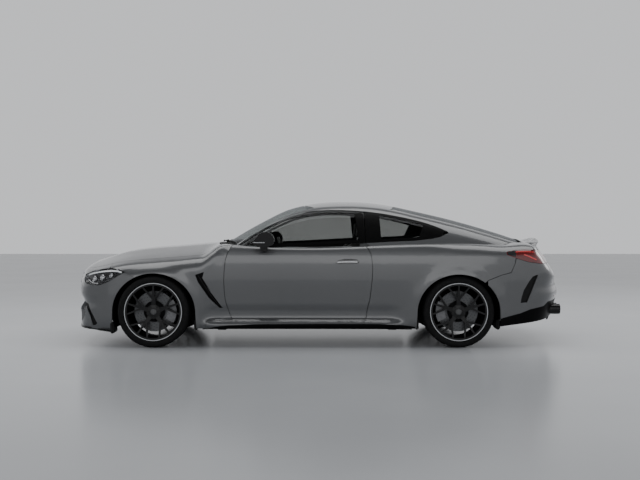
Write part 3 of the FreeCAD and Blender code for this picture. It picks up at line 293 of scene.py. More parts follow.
def leather_shader():
    s = Shader("leather_black")
    black = (0.030, 0.028, 0.027)
    grain = s.cells(420.0).outputs["Distance"]
    s.colour(s.blend(s.mottle(9.0, 3.0), tone(black, 0.85), tone(black, 1.2)))
    s.rough(s.ramp(grain, 0.42, 0.58, 0.0, 0.6))
    s.bump(s.plus(grain, s.noise(120.0, 4.0)), 0.45, 0.0010)
    s.put(sheen_weight=0.15)
    return s.mat


def lamp_red_shader():
    """Red lens with level ribs and small cells under a clear coat."""
    s = Shader("lamp_red")
    ribs = s.wave(s.split(s.coord)[2], 900.0)
    lens = s.plus(s.times(ribs, 0.35), s.times(s.cells(90.0).outputs["Distance"], 1.2))
    s.colour(s.blend(s.ramp(lens, 0.0, 1.0, 0.0, 1.0), (0.075, 0.003, 0.004), (0.18, 0.010, 0.011)))
    s.rough(s.ramp(s.noise(30.0), 0.08, 0.14))
    s.bump(lens, 0.25, 0.0008)
    s.put(coat_weight=1.0, coat_roughness=0.03)
    return s.mat


def mesh_shader():
    """Black web of an intake over darker cells: the cells are painted shade inside the openings."""
    s = Shader("honeycomb")
    cells = s.cells(42.0, feature="DISTANCE_TO_EDGE")
    cells.inputs["Randomness"].default_value = 0.15
    web = s.ramp(cells.outputs["Distance"], 1.0, 0.0, 0.07, 0.11)
    # The darker cells are painted shade in the openings
    s.colour(s.blend(web, (0.002, 0.002, 0.002), (0.020, 0.020, 0.021)))
    s.rough(s.ramp(web, 0.9, 0.3, 0.0, 1.0))
    s.bump(web, 0.9, 0.004)
    return s.mat


MATS = {
    "paint": paint_shader(),
    "lined_paint": lined_paint_shader(),
    "black_gloss": plain("black_gloss", (0.004, 0.004, 0.0043), 0.20, specular_ior_level=0.35),
    "black_matte": plain("black_matte", (0.006, 0.006, 0.0063), 0.62, bump=0.25, specular_ior_level=0.25),
    "border": plain("glass_border", (0.003, 0.003, 0.0032), 0.40, specular_ior_level=0.06),
    "bright_trim": plain("bright_trim", (0.58, 0.59, 0.61), 0.16, vary=0.05, metallic=1.0),
    "chrome": plain("lamp_chrome", (0.72, 0.73, 0.75), 0.08, vary=0.04, metallic=1.0),
    "smoke": plain("smoked_trim", (0.05, 0.05, 0.053), 0.2, metallic=0.6, coat_weight=0.5),
    "mirror": plain("mirror_glass", (0.7, 0.72, 0.74), 0.03, vary=0.02, metallic=1.0),
    "glass": glass_shader("side_glass", 0.66, (0.99, 1.0, 0.99)),
    "wind_glass": glass_shader("screen_glass", 0.76, (0.97, 1.0, 0.99)),
    "lamp_clear": glass_shader("lamp_cover", 0.93, (1.0, 1.0, 1.0)),
    "lamp_white": plain("lamp_white", (0.86, 0.88, 0.90), 0.25, vary=0.03, emission_strength=0.35,
                        emission_color=(0.9, 0.95, 1.0, 1.0)),
    "lamp_red": lamp_red_shader(),
    "red_strip": plain("lamp_red_bright", (0.75, 0.05, 0.05), 0.2, vary=0.06, coat_weight=1.0),
    "tyre": plain("tyre_plain", (0.02, 0.02, 0.021), 0.7, bump=0.4),
    "caliper": plain("caliper_grey", (0.16, 0.162, 0.168), 0.30, bump=0.1, coat_weight=0.5,
                     coat_roughness=0.1, metallic=0.4),
    "chassis": plain("cast_metal", (0.16, 0.16, 0.165), 0.55, bump=0.5, metallic=0.6),
    "engine": plain("engine_casting", (0.05, 0.05, 0.052), 0.6, bump=0.5, metallic=0.4),
    "leather": leather_shader(),
    "cloth": plain("lining_cloth", (0.010, 0.010, 0.010), 0.95, grain=300.0, specular_ior_level=0.0),
    "screen": plain("display", (0.006, 0.007, 0.009), 0.08, vary=0.3, grain=12.0),
    "mesh": mesh_shader(),
}


def look_of(material, slot=None):
    """A material and the record's slot that it belongs to."""
    return MATS[material], slot or material


PAINT = look_of("paint")
GLOSS = look_of("black_gloss")
MATTE = look_of("black_matte")
BORDER = look_of("border", "black_gloss")
SMOKE = look_of("smoke", "black_gloss")
SCREEN = look_of("screen", "black_gloss")
BRIGHT = look_of("bright_trim")
# Bright metal on a black gloss part: a painted highlight
SEAM_HIGHLIGHT = look_of("bright_trim", "black_gloss")
CHROME = look_of("chrome", "bright_trim")
MIRROR = look_of("mirror", "bright_trim")
LAMP_CLEAR = look_of("lamp_clear")
LAMP_WHITE = look_of("lamp_white", "lamp_clear")
LAMP_RED = look_of("lamp_red")
RED_STRIP = look_of("red_strip", "lamp_red")
LEATHER = look_of("leather")
SEAT_MATTE = look_of("black_matte", "leather")

# Nodes that don't wear the plain material of their slot
own = {name: MATS["lined_paint"] for name in ("body_sides", "roof", "door_left", "door_right")}
own.update(windscreen=MATS["wind_glass"], boot_tub=MATS["cloth"], diffuser=MATS["border"],
           exhaust=MATS["black_gloss"], intake_grilles=MATS["mesh"])
for end, x, y, r, w, k in WHEELS:
    own["rim_" + end] = rim_shader("rim_" + end, x, r)
    own["disc_" + end] = disc_shader("disc_" + end, x, r)
slots = {p["node"]: p["material_slot"] for p in frame["record"]["subparts"]}
for name, obj in nodes.items():
    obj.data.materials.clear()
    obj.data.materials.append(own[name] if name in own else MATS[slots[name]])


# Mesh helpers
def linked(name, data):
    """An object that shows the data in the scene."""
    obj = bpy.data.objects.new(name, data)
    bpy.context.scene.collection.objects.link(obj)
    return obj


def new_piece(name, bm, look, body="body"):
    """A mesh becomes a named piece that rides a body, smooth but for edges over 32 degrees."""
    bmesh.ops.recalc_face_normals(bm, faces=bm.faces)
    me = bpy.data.meshes.new(name)
    bm.to_mesh(me)
    bm.free()
    me.shade_smooth()
    me.set_sharp_from_angle(angle=math.radians(32))
    obj = linked(name, me)
    material, slot = look
    obj.data.materials.append(material)
    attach(obj, body)
    return obj


def skin_of(*names):
    """One searchable skin made of some nodes."""
    points = []
    faces = []
    for name in names:
        me = nodes[name].data
        base = len(points)
        points += [v.co.copy() for v in me.vertices]
        faces += [[base + i for i in p.vertices] for p in me.polygons]
    return BVHTree.FromPolygons(points, faces)


def mm(points):
    return [(a * 0.001, b * 0.001) for a, b in points]


def turns(n):
    """Angles of n even steps round a circle."""
    return [2 * math.pi * i / n for i in range(n)]


def steps_along(points, step):
    """Places along an open line, about one step apart, without its last point."""
    path = []
    for a, b in zip(points, points[1:]):
        a, b = Vector(a), Vector(b)
        n = max(1, round((b - a).length / step))
        path += [a.lerp(b, i / n) for i in range(n)]
    return path


def join_rings(bm, rings, closed):
    """Faces between neighbouring rings of points, and round to the first ring if closed."""
    n = len(rings[0])
    for a, b in zip(rings, rings[1:] + (rings[:1] if closed else [])):
        for i in range(n):
            j = (i + 1) % n
            bm.faces.new((a[i], a[j], b[j], b[i]))
    if not closed:
        bm.faces.new(rings[0])
        bm.faces.new(rings[-1])


def sweep(name, path, profile, look, ups=(Vector((0, 0, 1)),), closed=False, body="body"):
    """A profile of (side, up) points carried along a path, with one up for each place or for all."""
    bm = bmesh.new()
    rings = []
    count = len(path)
    for i, p in enumerate(path):
        after = path[(i + 1) % count if closed else min(i + 1, count - 1)]
        before = path[(i - 1) % count if closed else max(i - 1, 0)]
        t = (after - before).normalized()
        up = ups[i % len(ups)]
        side = t.cross(up).normalized()
        top = side.cross(t).normalized()
        rings.append([bm.verts.new(p + side * a + top * b) for a, b in profile])
    join_rings(bm, rings, closed)
    return new_piece(name, bm, look, body)


def round_profile(w, h, n):
    return [(w / 2 * math.cos(t), h / 2 * math.sin(t)) for t in turns(n)]


def flat_profile(w, h):
    x, z = w / 2, h / 2
    c = min(x, z) * 0.3
    return [(x - c, -z), (x, -z + c), (x, z - c), (x - c, z), (-x + c, z), (-x, z - c), (-x, -z + c),
            (-x + c, -z)]


def block(name, low, high, look, bevel, turn=None):
    """A box with rounded edges, turned about its middle."""
    bm = bmesh.new()
    bmesh.ops.create_cube(bm, size=1.0)
    mid = (Vector(low) + Vector(high)) / 2
    for v in bm.verts:
        v.co = Vector([v.co[i] * (high[i] - low[i]) for i in range(3)])
    bmesh.ops.bevel(bm, geom=bm.edges[:], offset=bevel, segments=3, affect="EDGES")
    for v in bm.verts:
        if turn:
            v.co = turn @ v.co
        v.co += mid
    return new_piece(name, bm, look)


# Tyres with tread grooves
TYRE_SEGMENTS = 84
GROOVES = (0.070, 0.024)


def tyre_profile(r, width):
    """Closed section of (radius, place across) points, drawn on one half and mirrored."""
    h = width / 2
    half = [(0.2555, h - 0.0160), (0.2740, h - 0.0118), (0.2790, h - 0.0060), (0.2860, h - 0.0022),
            (0.2950, h), (0.3040, h - 0.0004), (0.3120, h - 0.0022), (r - 0.0180, h - 0.0048),
            (r - 0.0165, h - 0.0075), (r - 0.0090, h - 0.0120), (r - 0.0040, h - 0.0190),
            (r - 0.0010, h - 0.0300)]
    for v in GROOVES:
        half += [(r, v + 0.0060), (r - 0.0070, v + 0.0045), (r - 0.0070, v - 0.0045), (r, v - 0.0060)]
    return half + [(a, -b) for a, b in reversed(half)]


def tyre_mesh(end, x, y, r, w, k):
    bm = bmesh.new()
    rings = []
    for a, v in tyre_profile(r, w):
        rings.append([bm.verts.new((x + a * math.cos(t), y + k * v, r + a * math.sin(t)))
                      for t in turns(TYRE_SEGMENTS)])
    join_rings(bm, rings, True)
    return new_piece("tyre_tread_" + end, bm, (tyre_shader("tyre_" + end, x, r, r), "tyre"), "wheel_" + end)


for end, x, y, r, w, k in WHEELS:
    tyre = tyre_mesh(end, x, y, r, w, k)
    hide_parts("tyre_" + end)


# Laying outlines and strips on the body: an aim turns two numbers into a ray's start and way
def side_aim(k):
    return lambda a, b: (Vector((a, 1.6 * k, b)), Vector((0, -k, 0)))


def front_aim(a, b):
    return Vector((-4, a, b)), Vector((1, 0, 0))


def rear_aim(a, b):
    return Vector((4, a, b)), Vector((-1, 0, 0))


def top_aim(a, b):
    return Vector((a, b, 3)), Vector((0, 0, -1))


def polar_aim(centre, k, facing):
    """Rays towards a centre, from a turn and a lift in radians."""
    def aim(turn, lift):
        flat = math.cos(lift)
        out = Vector((facing * flat * math.cos(turn), k * flat * math.sin(turn), math.sin(lift)))
        return Vector(centre) + 4 * out, -out
    return aim


def to_polar(p, centre, k, facing):
    d = Vector(p) - Vector(centre)
    return math.atan2(k * d.y, facing * d.x), math.atan2(d.z, math.hypot(d.x, d.y))


def hit_on(skin, aim, a, b, reach=9.0):
    """Place and outward normal where a ray meets the skin, and how far it went."""
    start, way = aim(a, b)
    place, normal, _, far = skin.ray_cast(start, way, reach)
    if place is None:
        return None
    if normal.dot(way) > 0:
        normal = -normal
    return place, normal, far


def hits(skin, aim, places):
    """What the rays for some places meet, without those that miss."""
    found = [hit_on(skin, aim, a, b) for a, b in places]
    return [got for got in found if got]


def around(skin, centre, k, facing, half, count):
    """Hits of a level fan of rays towards a centre, half degrees to each side."""
    fan = [(math.radians(-half + 2 * half * i / count), 0.0) for i in range(count + 1)]
    return hits(skin, polar_aim(centre, k, facing), fan)


def inside(p, line):
    """Whether a point lies in a closed outline."""
    found = False
    for (ax, ay), (bx, by) in zip(line, line[1:] + line[:1]):
        if (ay > p[1]) != (by > p[1]) and p[0] < (bx - ax) * (p[1] - ay) / (by - ay) + ax:
            found = not found
    return found


def edge_gap(p, line):
    """Distance from a point to a closed outline."""
    best = 9.0
    v = Vector(p)
    for a, b in zip(line, line[1:] + line[:1]):
        a, b = Vector(a), Vector(b)
        t = max(0.0, min(1.0, (v - a).dot(b - a) / max(1e-12, (b - a).length_squared)))
        best = min(best, (v - a.lerp(b, t)).length)
    return best


def extent(line, margin=0.0):
    """Lowest and highest corner of an outline, with a margin round it."""
    low = [min(p[i] for p in line) - margin for i in (0, 1)]
    return low, [max(p[i] for p in line) + margin for i in (0, 1)]


def flat_mesh(line, step):
    """Points and triangles that fill a closed outline."""
    edge = steps_along(line + line[:1], step)
    low, high = extent(line)
    inner = []
    for i in range(int((high[0] - low[0]) / step) + 1):
        for j in range(int((high[1] - low[1]) / step) + 1):
            p = (low[0] + (i + 0.5 * (j % 2)) * step, low[1] + (j + 0.5) * step)
            if inside(p, line) and edge_gap(p, line) > 0.5 * step:
                inner.append(Vector(p))
    points, _, faces = delaunay_2d_cdt(edge + inner, [], [list(range(len(edge)))], 1, 1e-7)[:3]
    return [tuple(p) for p in points], [tuple(f) for f in faces]


def fitted(line, skin, aim, margin, reach):
    """Cubic surface through the skin round an outline, so that a patch can span the hole in it."""
    low, high = extent(line, margin)
    mid = [(low[i] + high[i]) / 2 for i in (0, 1)]
    rows = []
    for i in range(25):
        for j in range(25):
            p = (low[0] + (high[0] - low[0]) * i / 24, low[1] + (high[1] - low[1]) * j / 24)
            got = hit_on(skin, aim, *p, reach)
            if got and not inside(p, line):
                rows.append((p[0] - mid[0], p[1] - mid[1], got[2]))
    rows = np.array(rows)

    def terms(u, v):
        return np.stack([u * 0 + 1, u, v, u * u, u * v, v * v, u ** 3, u * u * v, u * v * v, v ** 3], axis=-1)

    # Points on other pieces lie off the fit and are dropped
    for _ in range(4):
        table = terms(rows[:, 0], rows[:, 1])
        fit = np.linalg.lstsq(table, rows[:, 2], rcond=None)[0]
        off = np.abs(table @ fit - rows[:, 2])
        rows = rows[off < max(0.003, np.percentile(off, 85))]
    return lambda a, b: float(terms(np.array(a - mid[0]), np.array(b - mid[1])) @ fit)


def drape(name, line, aim, skin, lift, thick, look, step, fit=None, dish=None, body="body"):
    """A thin plate cut to an outline and laid on the skin, or on a fitted surface over a hole.
    fit holds the margin and the rays' reach, dish the depth and the width of a sunk middle."""
    points, faces = flat_mesh(line, step)
    surface = fitted(line, skin, aim, *fit) if fit else None
    out = []
    last = None
    for a, b in points:
        start, way = aim(a, b)
        got = None if fit else hit_on(skin, aim, a, b)
        if got:
            place, normal = got[0], got[1]
            last = normal
        elif fit:
            place, normal = start + way * surface(a, b), -way
        else:
            near = skin.find_nearest(start + way * (start.length - 0.5))
            place, normal = near[0], last or -way
        sink = 0.0
        if dish:
            t = min(1.0, edge_gap((a, b), line) / dish[1])
            sink = dish[0] * (1 - (1 - t) ** 2)
        out.append((place + normal * (lift - sink), normal))
    bm = bmesh.new()
    top = [bm.verts.new(p) for p, n in out]
    low = [bm.verts.new(p - n * thick) for p, n in out]
    used = {}
    for f in faces:
        for i, j in zip(f, f[1:] + f[:1]):
            used[frozenset((i, j))] = used.get(frozenset((i, j)), 0) + 1
    for f in faces:
        bm.faces.new([top[i] for i in f])
        bm.faces.new([low[i] for i in reversed(f)])
        for i, j in zip(f, f[1:] + f[:1]):
            if used[frozenset((i, j))] == 1:
                bm.faces.new((top[j], top[i], low[i], low[j]))
    return new_piece(name, bm, look, body)


def lifted(found, lift):
    """Places a little above the skin's hits, and the normals there."""
    return [place + normal * lift for place, normal, _ in found], [normal for _, normal, _ in found]


def lay_bar(name, line, aim, skin, lift, width, height, look, body="body"):
    """A flat bar that follows a line on the skin."""
    path, ups = lifted(hits(skin, aim, steps_along(line, 0.02) + [line[-1]]), lift)
    sweep(name, path, flat_profile(width, height), look, ups, body=body)


# Plates laid on the body, in metres: thickness, and step of the mesh that follows the skin
PLATE, PRINT = 0.003, 0.002
PRINT_LIFT = 0.0015
FINE, MEDIUM, COARSE = 0.010, 0.02, 0.03

# Skins that the details are laid on
shell = {s: skin_of("body_sides", "front_fenders", "front_bumper", "rear_bumper", "door_" + s)
         for s, k in SIDES}
nose = skin_of("front_bumper", "headlamps", "bonnet")
headlamps = skin_of("headlamps")
tail_lamps = skin_of("tail_lamps")
windscreen = skin_of("windscreen")
quarter_windows = skin_of("quarter_windows")

# Vents, slots, skirts, arch flaps and front lip
VENT = mm([(-1184, 690), (-1092, 716), (-1104, 655), (-1046, 550), (-926, 386), (-908, 366), (-955, 366),
           (-1055, 465), (-1156, 615)])
VENT_SINK, VENT_FIT = 0.016, (0.06, 0.95)
VENT_FIN = [(-1.148, 0.676), (-1.096, 0.594), (-1.030, 0.494), (-0.958, 0.396)]
FIN_PLACES = ((0.0, 0.0), (0.030, -0.012))
FIN_WIDTH, FIN_DEPTH, FIN_SINK = 0.005, 0.016, 0.006
SLOT_SINK, SLOT_FIT = 0.014, (0.05, 1.1)
FRONT_SLOT = mm([(-2262, 424), (-2206, 408), (-2170, 331), (-2110, 222), (-2132, 198), (-2170, 194),
                 (-2195, 288), (-2225, 350)])
REAR_SLOT = mm([(2038, 690), (2072, 688), (1962, 420), (1885, 414), (1893, 472), (1915, 544), (1968, 630),
                (2004, 674)])
SKIRT = mm([(-1060, 177), (-980, 196), (-860, 209), (-600, 218), (0, 222), (560, 222), (760, 212),
            (880, 197), (960, 179), (560, 178), (-600, 178)])
SKIRT_LIFT, SKIRT_THICK = 0.004, 0.006
FLAP_INNER, FLAP_OUTER, FLAP_ROUND = 0.720, 0.900, 0.010
FLAPS = ((-1.985, -1.952, 0.128, 0.235), (-1.192, -1.160, 0.160, 0.260),
         (0.900, 0.934, 0.165, 0.262), (1.668, 1.705, 0.165, 0.262))
BLADE_CENTRE = (-1.5, 0.0, 0.205)
BLADE_TIP, BLADE_HEIGHT, BLADE_FALL = -2.340, 0.190, 0.040 / 0.380
BLADE_LOW, BLADE_HIGH, BLADE_SINK = 0.140, 0.200, 0.004


def side_vent(s, k):
    """Dark back of the fender's vent, sunk under the skin, and the fins in front of it."""
    aim = side_aim(k)
    drape("vent_back_" + s, VENT, aim, shell[s], -VENT_SINK, PLATE, BORDER, MEDIUM, VENT_FIT)
    reach = fitted(VENT, shell[s], aim, *VENT_FIT)
    for i, (dx, dz) in enumerate(FIN_PLACES):
        path = []
        for a, b in VENT_FIN:
            start, way = aim(a + dx, b + dz)
            path.append(start + way * (reach(a + dx, b + dz) + FIN_SINK))
        fin = flat_profile(FIN_WIDTH, FIN_DEPTH)
        sweep("vent_fin_%d_%s" % (i, s), path, fin, GLOSS, [Vector((0, k, 0))])


def arch_flaps(s, k):
    for i, (x0, x1, z0, z1) in enumerate(FLAPS):
        y0, y1 = sorted((k * FLAP_INNER, k * FLAP_OUTER))
        block("arch_flap_%d_%s" % (i, s), (x0, y0, z0), (x1, y1, z1), MATTE, FLAP_ROUND)


def front_lip():
    """Blade under the front bumper, which drops a little towards the wheels."""
    path = []
    for place, _, _ in around(nose, BLADE_CENTRE, 1, -1, 78, 48):
        z = BLADE_HEIGHT - (place.x - BLADE_TIP) * BLADE_FALL
        path.append(Vector((place.x, place.y, max(BLADE_LOW, min(BLADE_HIGH, z)) - BLADE_SINK)))
    profile = [(-0.008, -0.007), (0.050, -0.007), (0.050, 0.006), (0.0, 0.007), (-0.008, 0.002)]
    sweep("front_lip", path, profile, GLOSS)


for s, k in SIDES:
    side_vent(s, k)
    for name, line in (("front_slot_back_", FRONT_SLOT), ("rear_slot_back_", REAR_SLOT)):
        drape(name + s, line, side_aim(k), shell[s], -SLOT_SINK, PLATE, MATTE, MEDIUM, SLOT_FIT)
    drape("sill_skirt_" + s, SKIRT, side_aim(k), shell[s], SKIRT_LIFT, SKIRT_THICK, BORDER, FINE)
for s, k in SIDES:
    arch_flaps(s, k)
front_lip()

# Window surrounds between the belt line and the top line
BELT = mm([(-836, 930), (-500, 938), (-165, 951), (100, 966), (383, 980), (700, 995), (900, 1004),
           (1060, 1020), (1160, 1040), (1236, 1072)])
TOP = mm([(-836, 930), (-738, 1002), (-668, 1058), (-565, 1119), (-436, 1182), (-295, 1243), (-170, 1276),
          (-45, 1295), (80, 1303), (205, 1303), (330, 1297), (456, 1287), (580, 1272), (702, 1251),
          (823, 1228), (943, 1199), (1054, 1167), (1160, 1127), (1235, 1092)])
STRIP, STRIP_LIFT = 0.004, 0.0025


def at(line, x):
    """Height of a line at x."""
    for (a, za), (b, zb) in zip(line, line[1:]):
        if a <= x <= b:
            return za + (zb - za) * (x - a) / (b - a)
    return line[-1][1] if x > line[-1][0] else line[0][1]


def belt(x, rise):
    return x, at(BELT, x) + rise


def top(x, rise):
    return x, at(TOP, x) + rise


def band(line, x0, x1, low, high, n):
    """Outline of a strip along a line, between two heights off it."""
    xs = [x0 + (x1 - x0) * i / n for i in range(n + 1)]
    return [(x, at(line, x) + low) for x in xs] + [(x, at(line, x) + high) for x in reversed(xs)]


def border(name, line, k, skin, body="body", lift=PRINT_LIFT, thick=PRINT, step=COARSE, fit=None):
    """A dark strip printed on the glass of one side."""
    drape(name, line, side_aim(k), skin, lift, thick, BORDER, step, fit, body=body)


def door_borders(s, k):
    """Belt strip, mirror corner, top edge and rear post of a door's glass."""
    pane = skin_of("door_glass_" + s)
    door = "door_" + s
    border("belt_strip_" + s, band(BELT, -0.690, 0.414, 0.004, 0.036, 24), k, pane, door, STRIP_LIFT, STRIP)
    corner = [top(x, -0.008) for x in (-0.815, -0.75, -0.70, -0.668, -0.64)]
    corner += [(-0.655, 1.03), (-0.690, 0.972), (-0.690, 0.936), (-0.815, 0.934)]
    border("mirror_corner_" + s, corner, k, pane, door, PRINT_LIFT, STRIP, MEDIUM, (0.03, 0.95))
    border("top_border_" + s, band(TOP, -0.66, 0.418, -0.034, -0.003, 40), k, pane, door)
    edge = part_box("door_glass_" + s)[1][0] - 0.0008
    post = [belt(0.372, 0.006), belt(edge, 0.006), top(edge, -0.006), top(0.338, -0.028)]
    border("post_cover_" + s, post, k, pane, door)


def quarter_borders(s, k):
    """Edges, post and rear tip of a quarter window, and the seal at the door's post."""
    pane = quarter_windows
    border("quarter_top_" + s, band(TOP, 0.436, 1.20, -0.026, -0.002, 30), k, pane)
    border("quarter_belt_" + s, band(BELT, 0.436, 1.18, 0.002, 0.032, 30), k, pane)
    post = [belt(0.436, 0.030), belt(0.585, 0.030), top(0.575, -0.024), top(0.436, -0.024)]
    border("quarter_post_" + s, post, k, pane)
    seal = [(0.4258, at(BELT, 0.43) + 0.004), (0.442, at(BELT, 0.44) + 0.004),
            (0.442, at(TOP, 0.44) - 0.004), (0.4258, at(TOP, 0.43) - 0.004)]
    around_post = skin_of("door_glass_" + s, "quarter_windows", "body_sides")
    border("post_seal_" + s, seal, k, around_post, "body", STRIP_LIFT, PLATE)
    tip = [belt(0.95, 0.030), belt(1.10, 0.018), belt(1.18, 0.012), top(1.20, -0.014), top(1.10, -0.024),
           top(1.00, -0.024)]
    border("quarter_tip_" + s, tip, k, pane)


for s, k in SIDES:
    door_borders(s, k)
    quarter_borders(s, k)

# Dark border at the windscreen's foot: its front and rear edge on one half, in x and y
BORDER_FRONT = [(-0.985, 0), (-0.962, 0.25), (-0.894, 0.50), (-0.842, 0.64)]
BORDER_REAR = [(-0.945, 0), (-0.922, 0.25), (-0.852, 0.49), (-0.775, 0.66)]
foot_band = [(x, -y) for x, y in reversed(BORDER_FRONT[1:])] + BORDER_FRONT
foot_band += BORDER_REAR[::-1] + [(x, -y) for x, y in BORDER_REAR[1:]]
drape("screen_border_low", foot_band, top_aim, windscreen, 0.0012, PRINT, BORDER, COARSE)

# Wipers: the blade's ends in y, the arm's pivot in x and y, and the arm's bend
WIPERS = ((-0.64, -0.06, (-0.985, -0.10), 0.04), (-0.02, 0.54, (-0.990, 0.50), 0.05))
screen = skin_of("windscreen", "cowl")


def screen_foot(y):
    """x of the windscreen's lower edge."""
    if abs(y) < 0.25:
        return -0.990 + 0.022 * (abs(y) / 0.25) ** 2
    return -0.968 + (abs(y) - 0.25) * 0.30


for i, (y0, y1, pivot, bend) in enumerate(WIPERS):
    ys = [y0 + (y1 - y0) * j / 12 for j in range(13)]
    line = [(screen_foot(y) + 0.030, y) for y in ys]
    lay_bar("wiper_blade_%d" % i, line, top_aim, screen, 0.013, 0.010, 0.014, MATTE)
    elbow = (pivot[0] + 0.02, pivot[1] - bend)
    lay_bar("wiper_arm_%d" % i, [pivot, elbow, line[6]], top_aim, screen, 0.026, 0.016, 0.008, MATTE)

# Headlamps, seen from the side
LAMP = mm([(-2274, 676), (-2156, 717), (-2061, 733), (-1966, 739), (-1904, 732), (-1852, 708),
           (-1899, 685), (-1983, 634), (-2052, 602), (-2111, 585), (-2179, 589), (-2236, 603),
           (-2264, 634)])
LAMP_CORNER = mm([(-1922, 743), (-1846, 741), (-1846, 712), (-1868, 719), (-1904, 737)])
DAYLIGHT = [(-2.236, 0.683), (-2.190, 0.697), (-2.141, 0.7075), (-2.085, 0.717), (-2.031, 0.7225),
            (-1.975, 0.7245), (-1.920, 0.7215), (-1.880, 0.711)]
BOWL = (0.045, 0.10)
LOW_STRIP = [(-2.222, 0.640), (-2.190, 0.615), (-2.150, 0.603), (-2.110, 0.600)]
LENS_SINK, LENS_SHARE, RING_LIFT, RING_STEPS = 0.036, 0.86, 0.010, 24
PROJECTORS = ((-2.165, 0.652, 0.030), (-2.075, 0.664, 0.030), (-1.985, 0.684, 0.022))


def lamp_shell(s, k):
    """Clear cover over a smoked bowl, and the painted wedge behind the lamp's rear tip."""
    centre = (-1.62, 0.38 * k, 0.60)
    aim = polar_aim(centre, k, -1)
    outline = [to_polar(got[0], centre, k, -1) for got in hits(headlamps, side_aim(k), LAMP)]
    cover = drape("lamp_cover_" + s, outline, aim, headlamps, 0.0, PLATE, LAMP_CLEAR, COARSE)
    mid = [sum(p[i] for p in outline) / len(outline) for i in (0, 1)]
    small = [(a + (mid[0] - a) * 0.02, b + (mid[1] - b) * 0.02) for a, b in outline]
    drape("lamp_bowl_" + s, small, aim, headlamps, -0.005, PLATE, SMOKE, 0.025, dish=BOWL)
    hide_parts("headlamps")
    aim = side_aim(k)
    drape("lamp_corner_" + s, LAMP_CORNER, aim, shell[s], -0.0015, PLATE, PAINT, FINE, SLOT_FIT)


def lamp_strips(s, k):
    aim = side_aim(k)
    lay_bar("daylight_strip_" + s, DAYLIGHT, aim, headlamps, -0.010, 0.013, 0.008, LAMP_WHITE)
    lay_bar("low_strip_" + s, LOW_STRIP, aim, headlamps, -0.012, 0.006, 0.006, CHROME)


def ball(name, centre, radius, turn, look):
    """A flattened ball, with a turn of its short axis."""
    bm = bmesh.new()
    bmesh.ops.create_uvsphere(bm, u_segments=20, v_segments=10, radius=radius)
    for v in bm.verts:
        v.co = turn @ Vector((v.co.x, v.co.y, v.co.z * 0.7)) + centre
    return new_piece(name, bm, look)


def projector(i, s, k):
    """One lens behind the cover, in a chrome ring."""
    a, b, r = PROJECTORS[i]
    place, normal, _ = hit_on(headlamps, side_aim(k), a, b)
    axis = (normal + Vector((-0.9, 0, 0))).normalized()
    place = place - normal * LENS_SINK
    turn = Vector((0, 0, 1)).rotation_difference(axis)
    ball("projector_%d_%s" % (i, s), place, r * LENS_SHARE, turn, CHROME)
    ring = [place + axis * RING_LIFT + turn @ Vector((r * math.cos(t), r * math.sin(t), 0))
            for t in turns(RING_STEPS)]
    sweep("projector_ring_%d_%s" % (i, s), ring, round_profile(0.007, 0.010, 6), CHROME, [axis], True)


for s, k in SIDES:
    lamp_shell(s, k)
    lamp_strips(s, k)
    for i in range(len(PROJECTORS)):
        projector(i, s, k)

# Grille surround and bars of the middle intake
GRILLE = mm([(0, 510), (330, 510), (427, 518), (452, 545), (434, 591), (394, 656), (346, 691), (0, 703)])
INTAKE_BARS = 3


def grille_surround():
    """Bright edge that follows the grille's outline just in front of the nose."""
    loop = GRILLE + [(-y, z) for y, z in reversed(GRILLE[1:-1])]
    path = []
    for (ay, az), (by, bz) in zip(loop, loop[1:] + loop[:1]):
        n = max(1, round(math.hypot(by - ay, bz - az) / 0.04))
        for i in range(n):
            y, z = ay + (by - ay) * i / n, az + (bz - az) * i / n
            got = hit_on(nose, front_aim, y * 1.012, z + (0.006 if z > 0.6 else -0.006))
            if got:
                path.append(Vector((got[0].x - 0.001, y, z)))
    sweep("grille_surround", path, round_profile(0.010, 0.012, 8), BRIGHT, [Vector((-1, 0, 0))], True)


def intake_bar(i, skin):
    found = hits(skin, front_aim, [(-0.50 + 1.0 * j / 24, 0.25 + 0.06 * i) for j in range(25)])
    path = [got[0] - Vector((0.012, 0, 0)) for got in found]
    sweep("intake_bar_%d" % i, path, flat_profile(0.012, 0.010), GLOSS)


grille_surround()
intake = skin_of("intake_grilles")
for i in range(INTAKE_BARS):
    intake_bar(i, intake)

# Tail lamps: dark tip and bright strips, seen from the side
TAIL_TIP = mm([(1772, 889), (1774, 899), (1844, 914), (1862, 916), (1850, 850), (1775, 875)])
TAIL_STRIP = [(1.850, 0.898), (1.90, 0.902), (1.95, 0.902), (2.00, 0.899), (2.035, 0.895)]
TAIL_HOOK = [(1.930, 0.874), (1.975, 0.858), (2.02, 0.838), (2.05, 0.826)]
for s, k in SIDES:
    aim = side_aim(k)
    drape("lamp_tip_" + s, TAIL_TIP, aim, tail_lamps, 0.0012, PRINT, SMOKE, 0.015)
    for name, line, width in (("tail_strip_", TAIL_STRIP, 0.009), ("tail_hook_", TAIL_HOOK, 0.012)):
        lay_bar(name + s, line, aim, tail_lamps, 0.001, width, 0.006, RED_STRIP)
found = around(skin_of("boot_lamp"), (1.60, 0.0, 0.852), 1, 1, 40, 40)
path, ups = lifted([got for got in found if abs(got[0].y) < 0.585], 0.001)
sweep("boot_strip", path, flat_profile(0.008, 0.005), RED_STRIP, ups, body="boot_lid")

# Spoiler lip on the boot lid, its section as places before the lid's edge and shares of its rise
LIP_HALF, LIP_RISE, LIP_STEPS = 0.572, 0.052, 48
LID_REAR, LID_LOW, FACING_UP = 2.290, 0.86, 0.86
BOND = 0.0006
LIP_SECTION = ((0.085, 0.0), (0.060, 0.22), (0.030, 0.55), (0.000, 0.90), (-0.012, 1.0), (-0.018, 0.95))


def lid_edge(lid, y):
    """The rearmost place on the lid's top that still faces up."""
    for j in range(90):
        got = hit_on(lid, top_aim, LID_REAR - 0.003 * j, y)
        if got and got[1].z > FACING_UP and got[0].z > LID_LOW:
            return got[0]
    return None


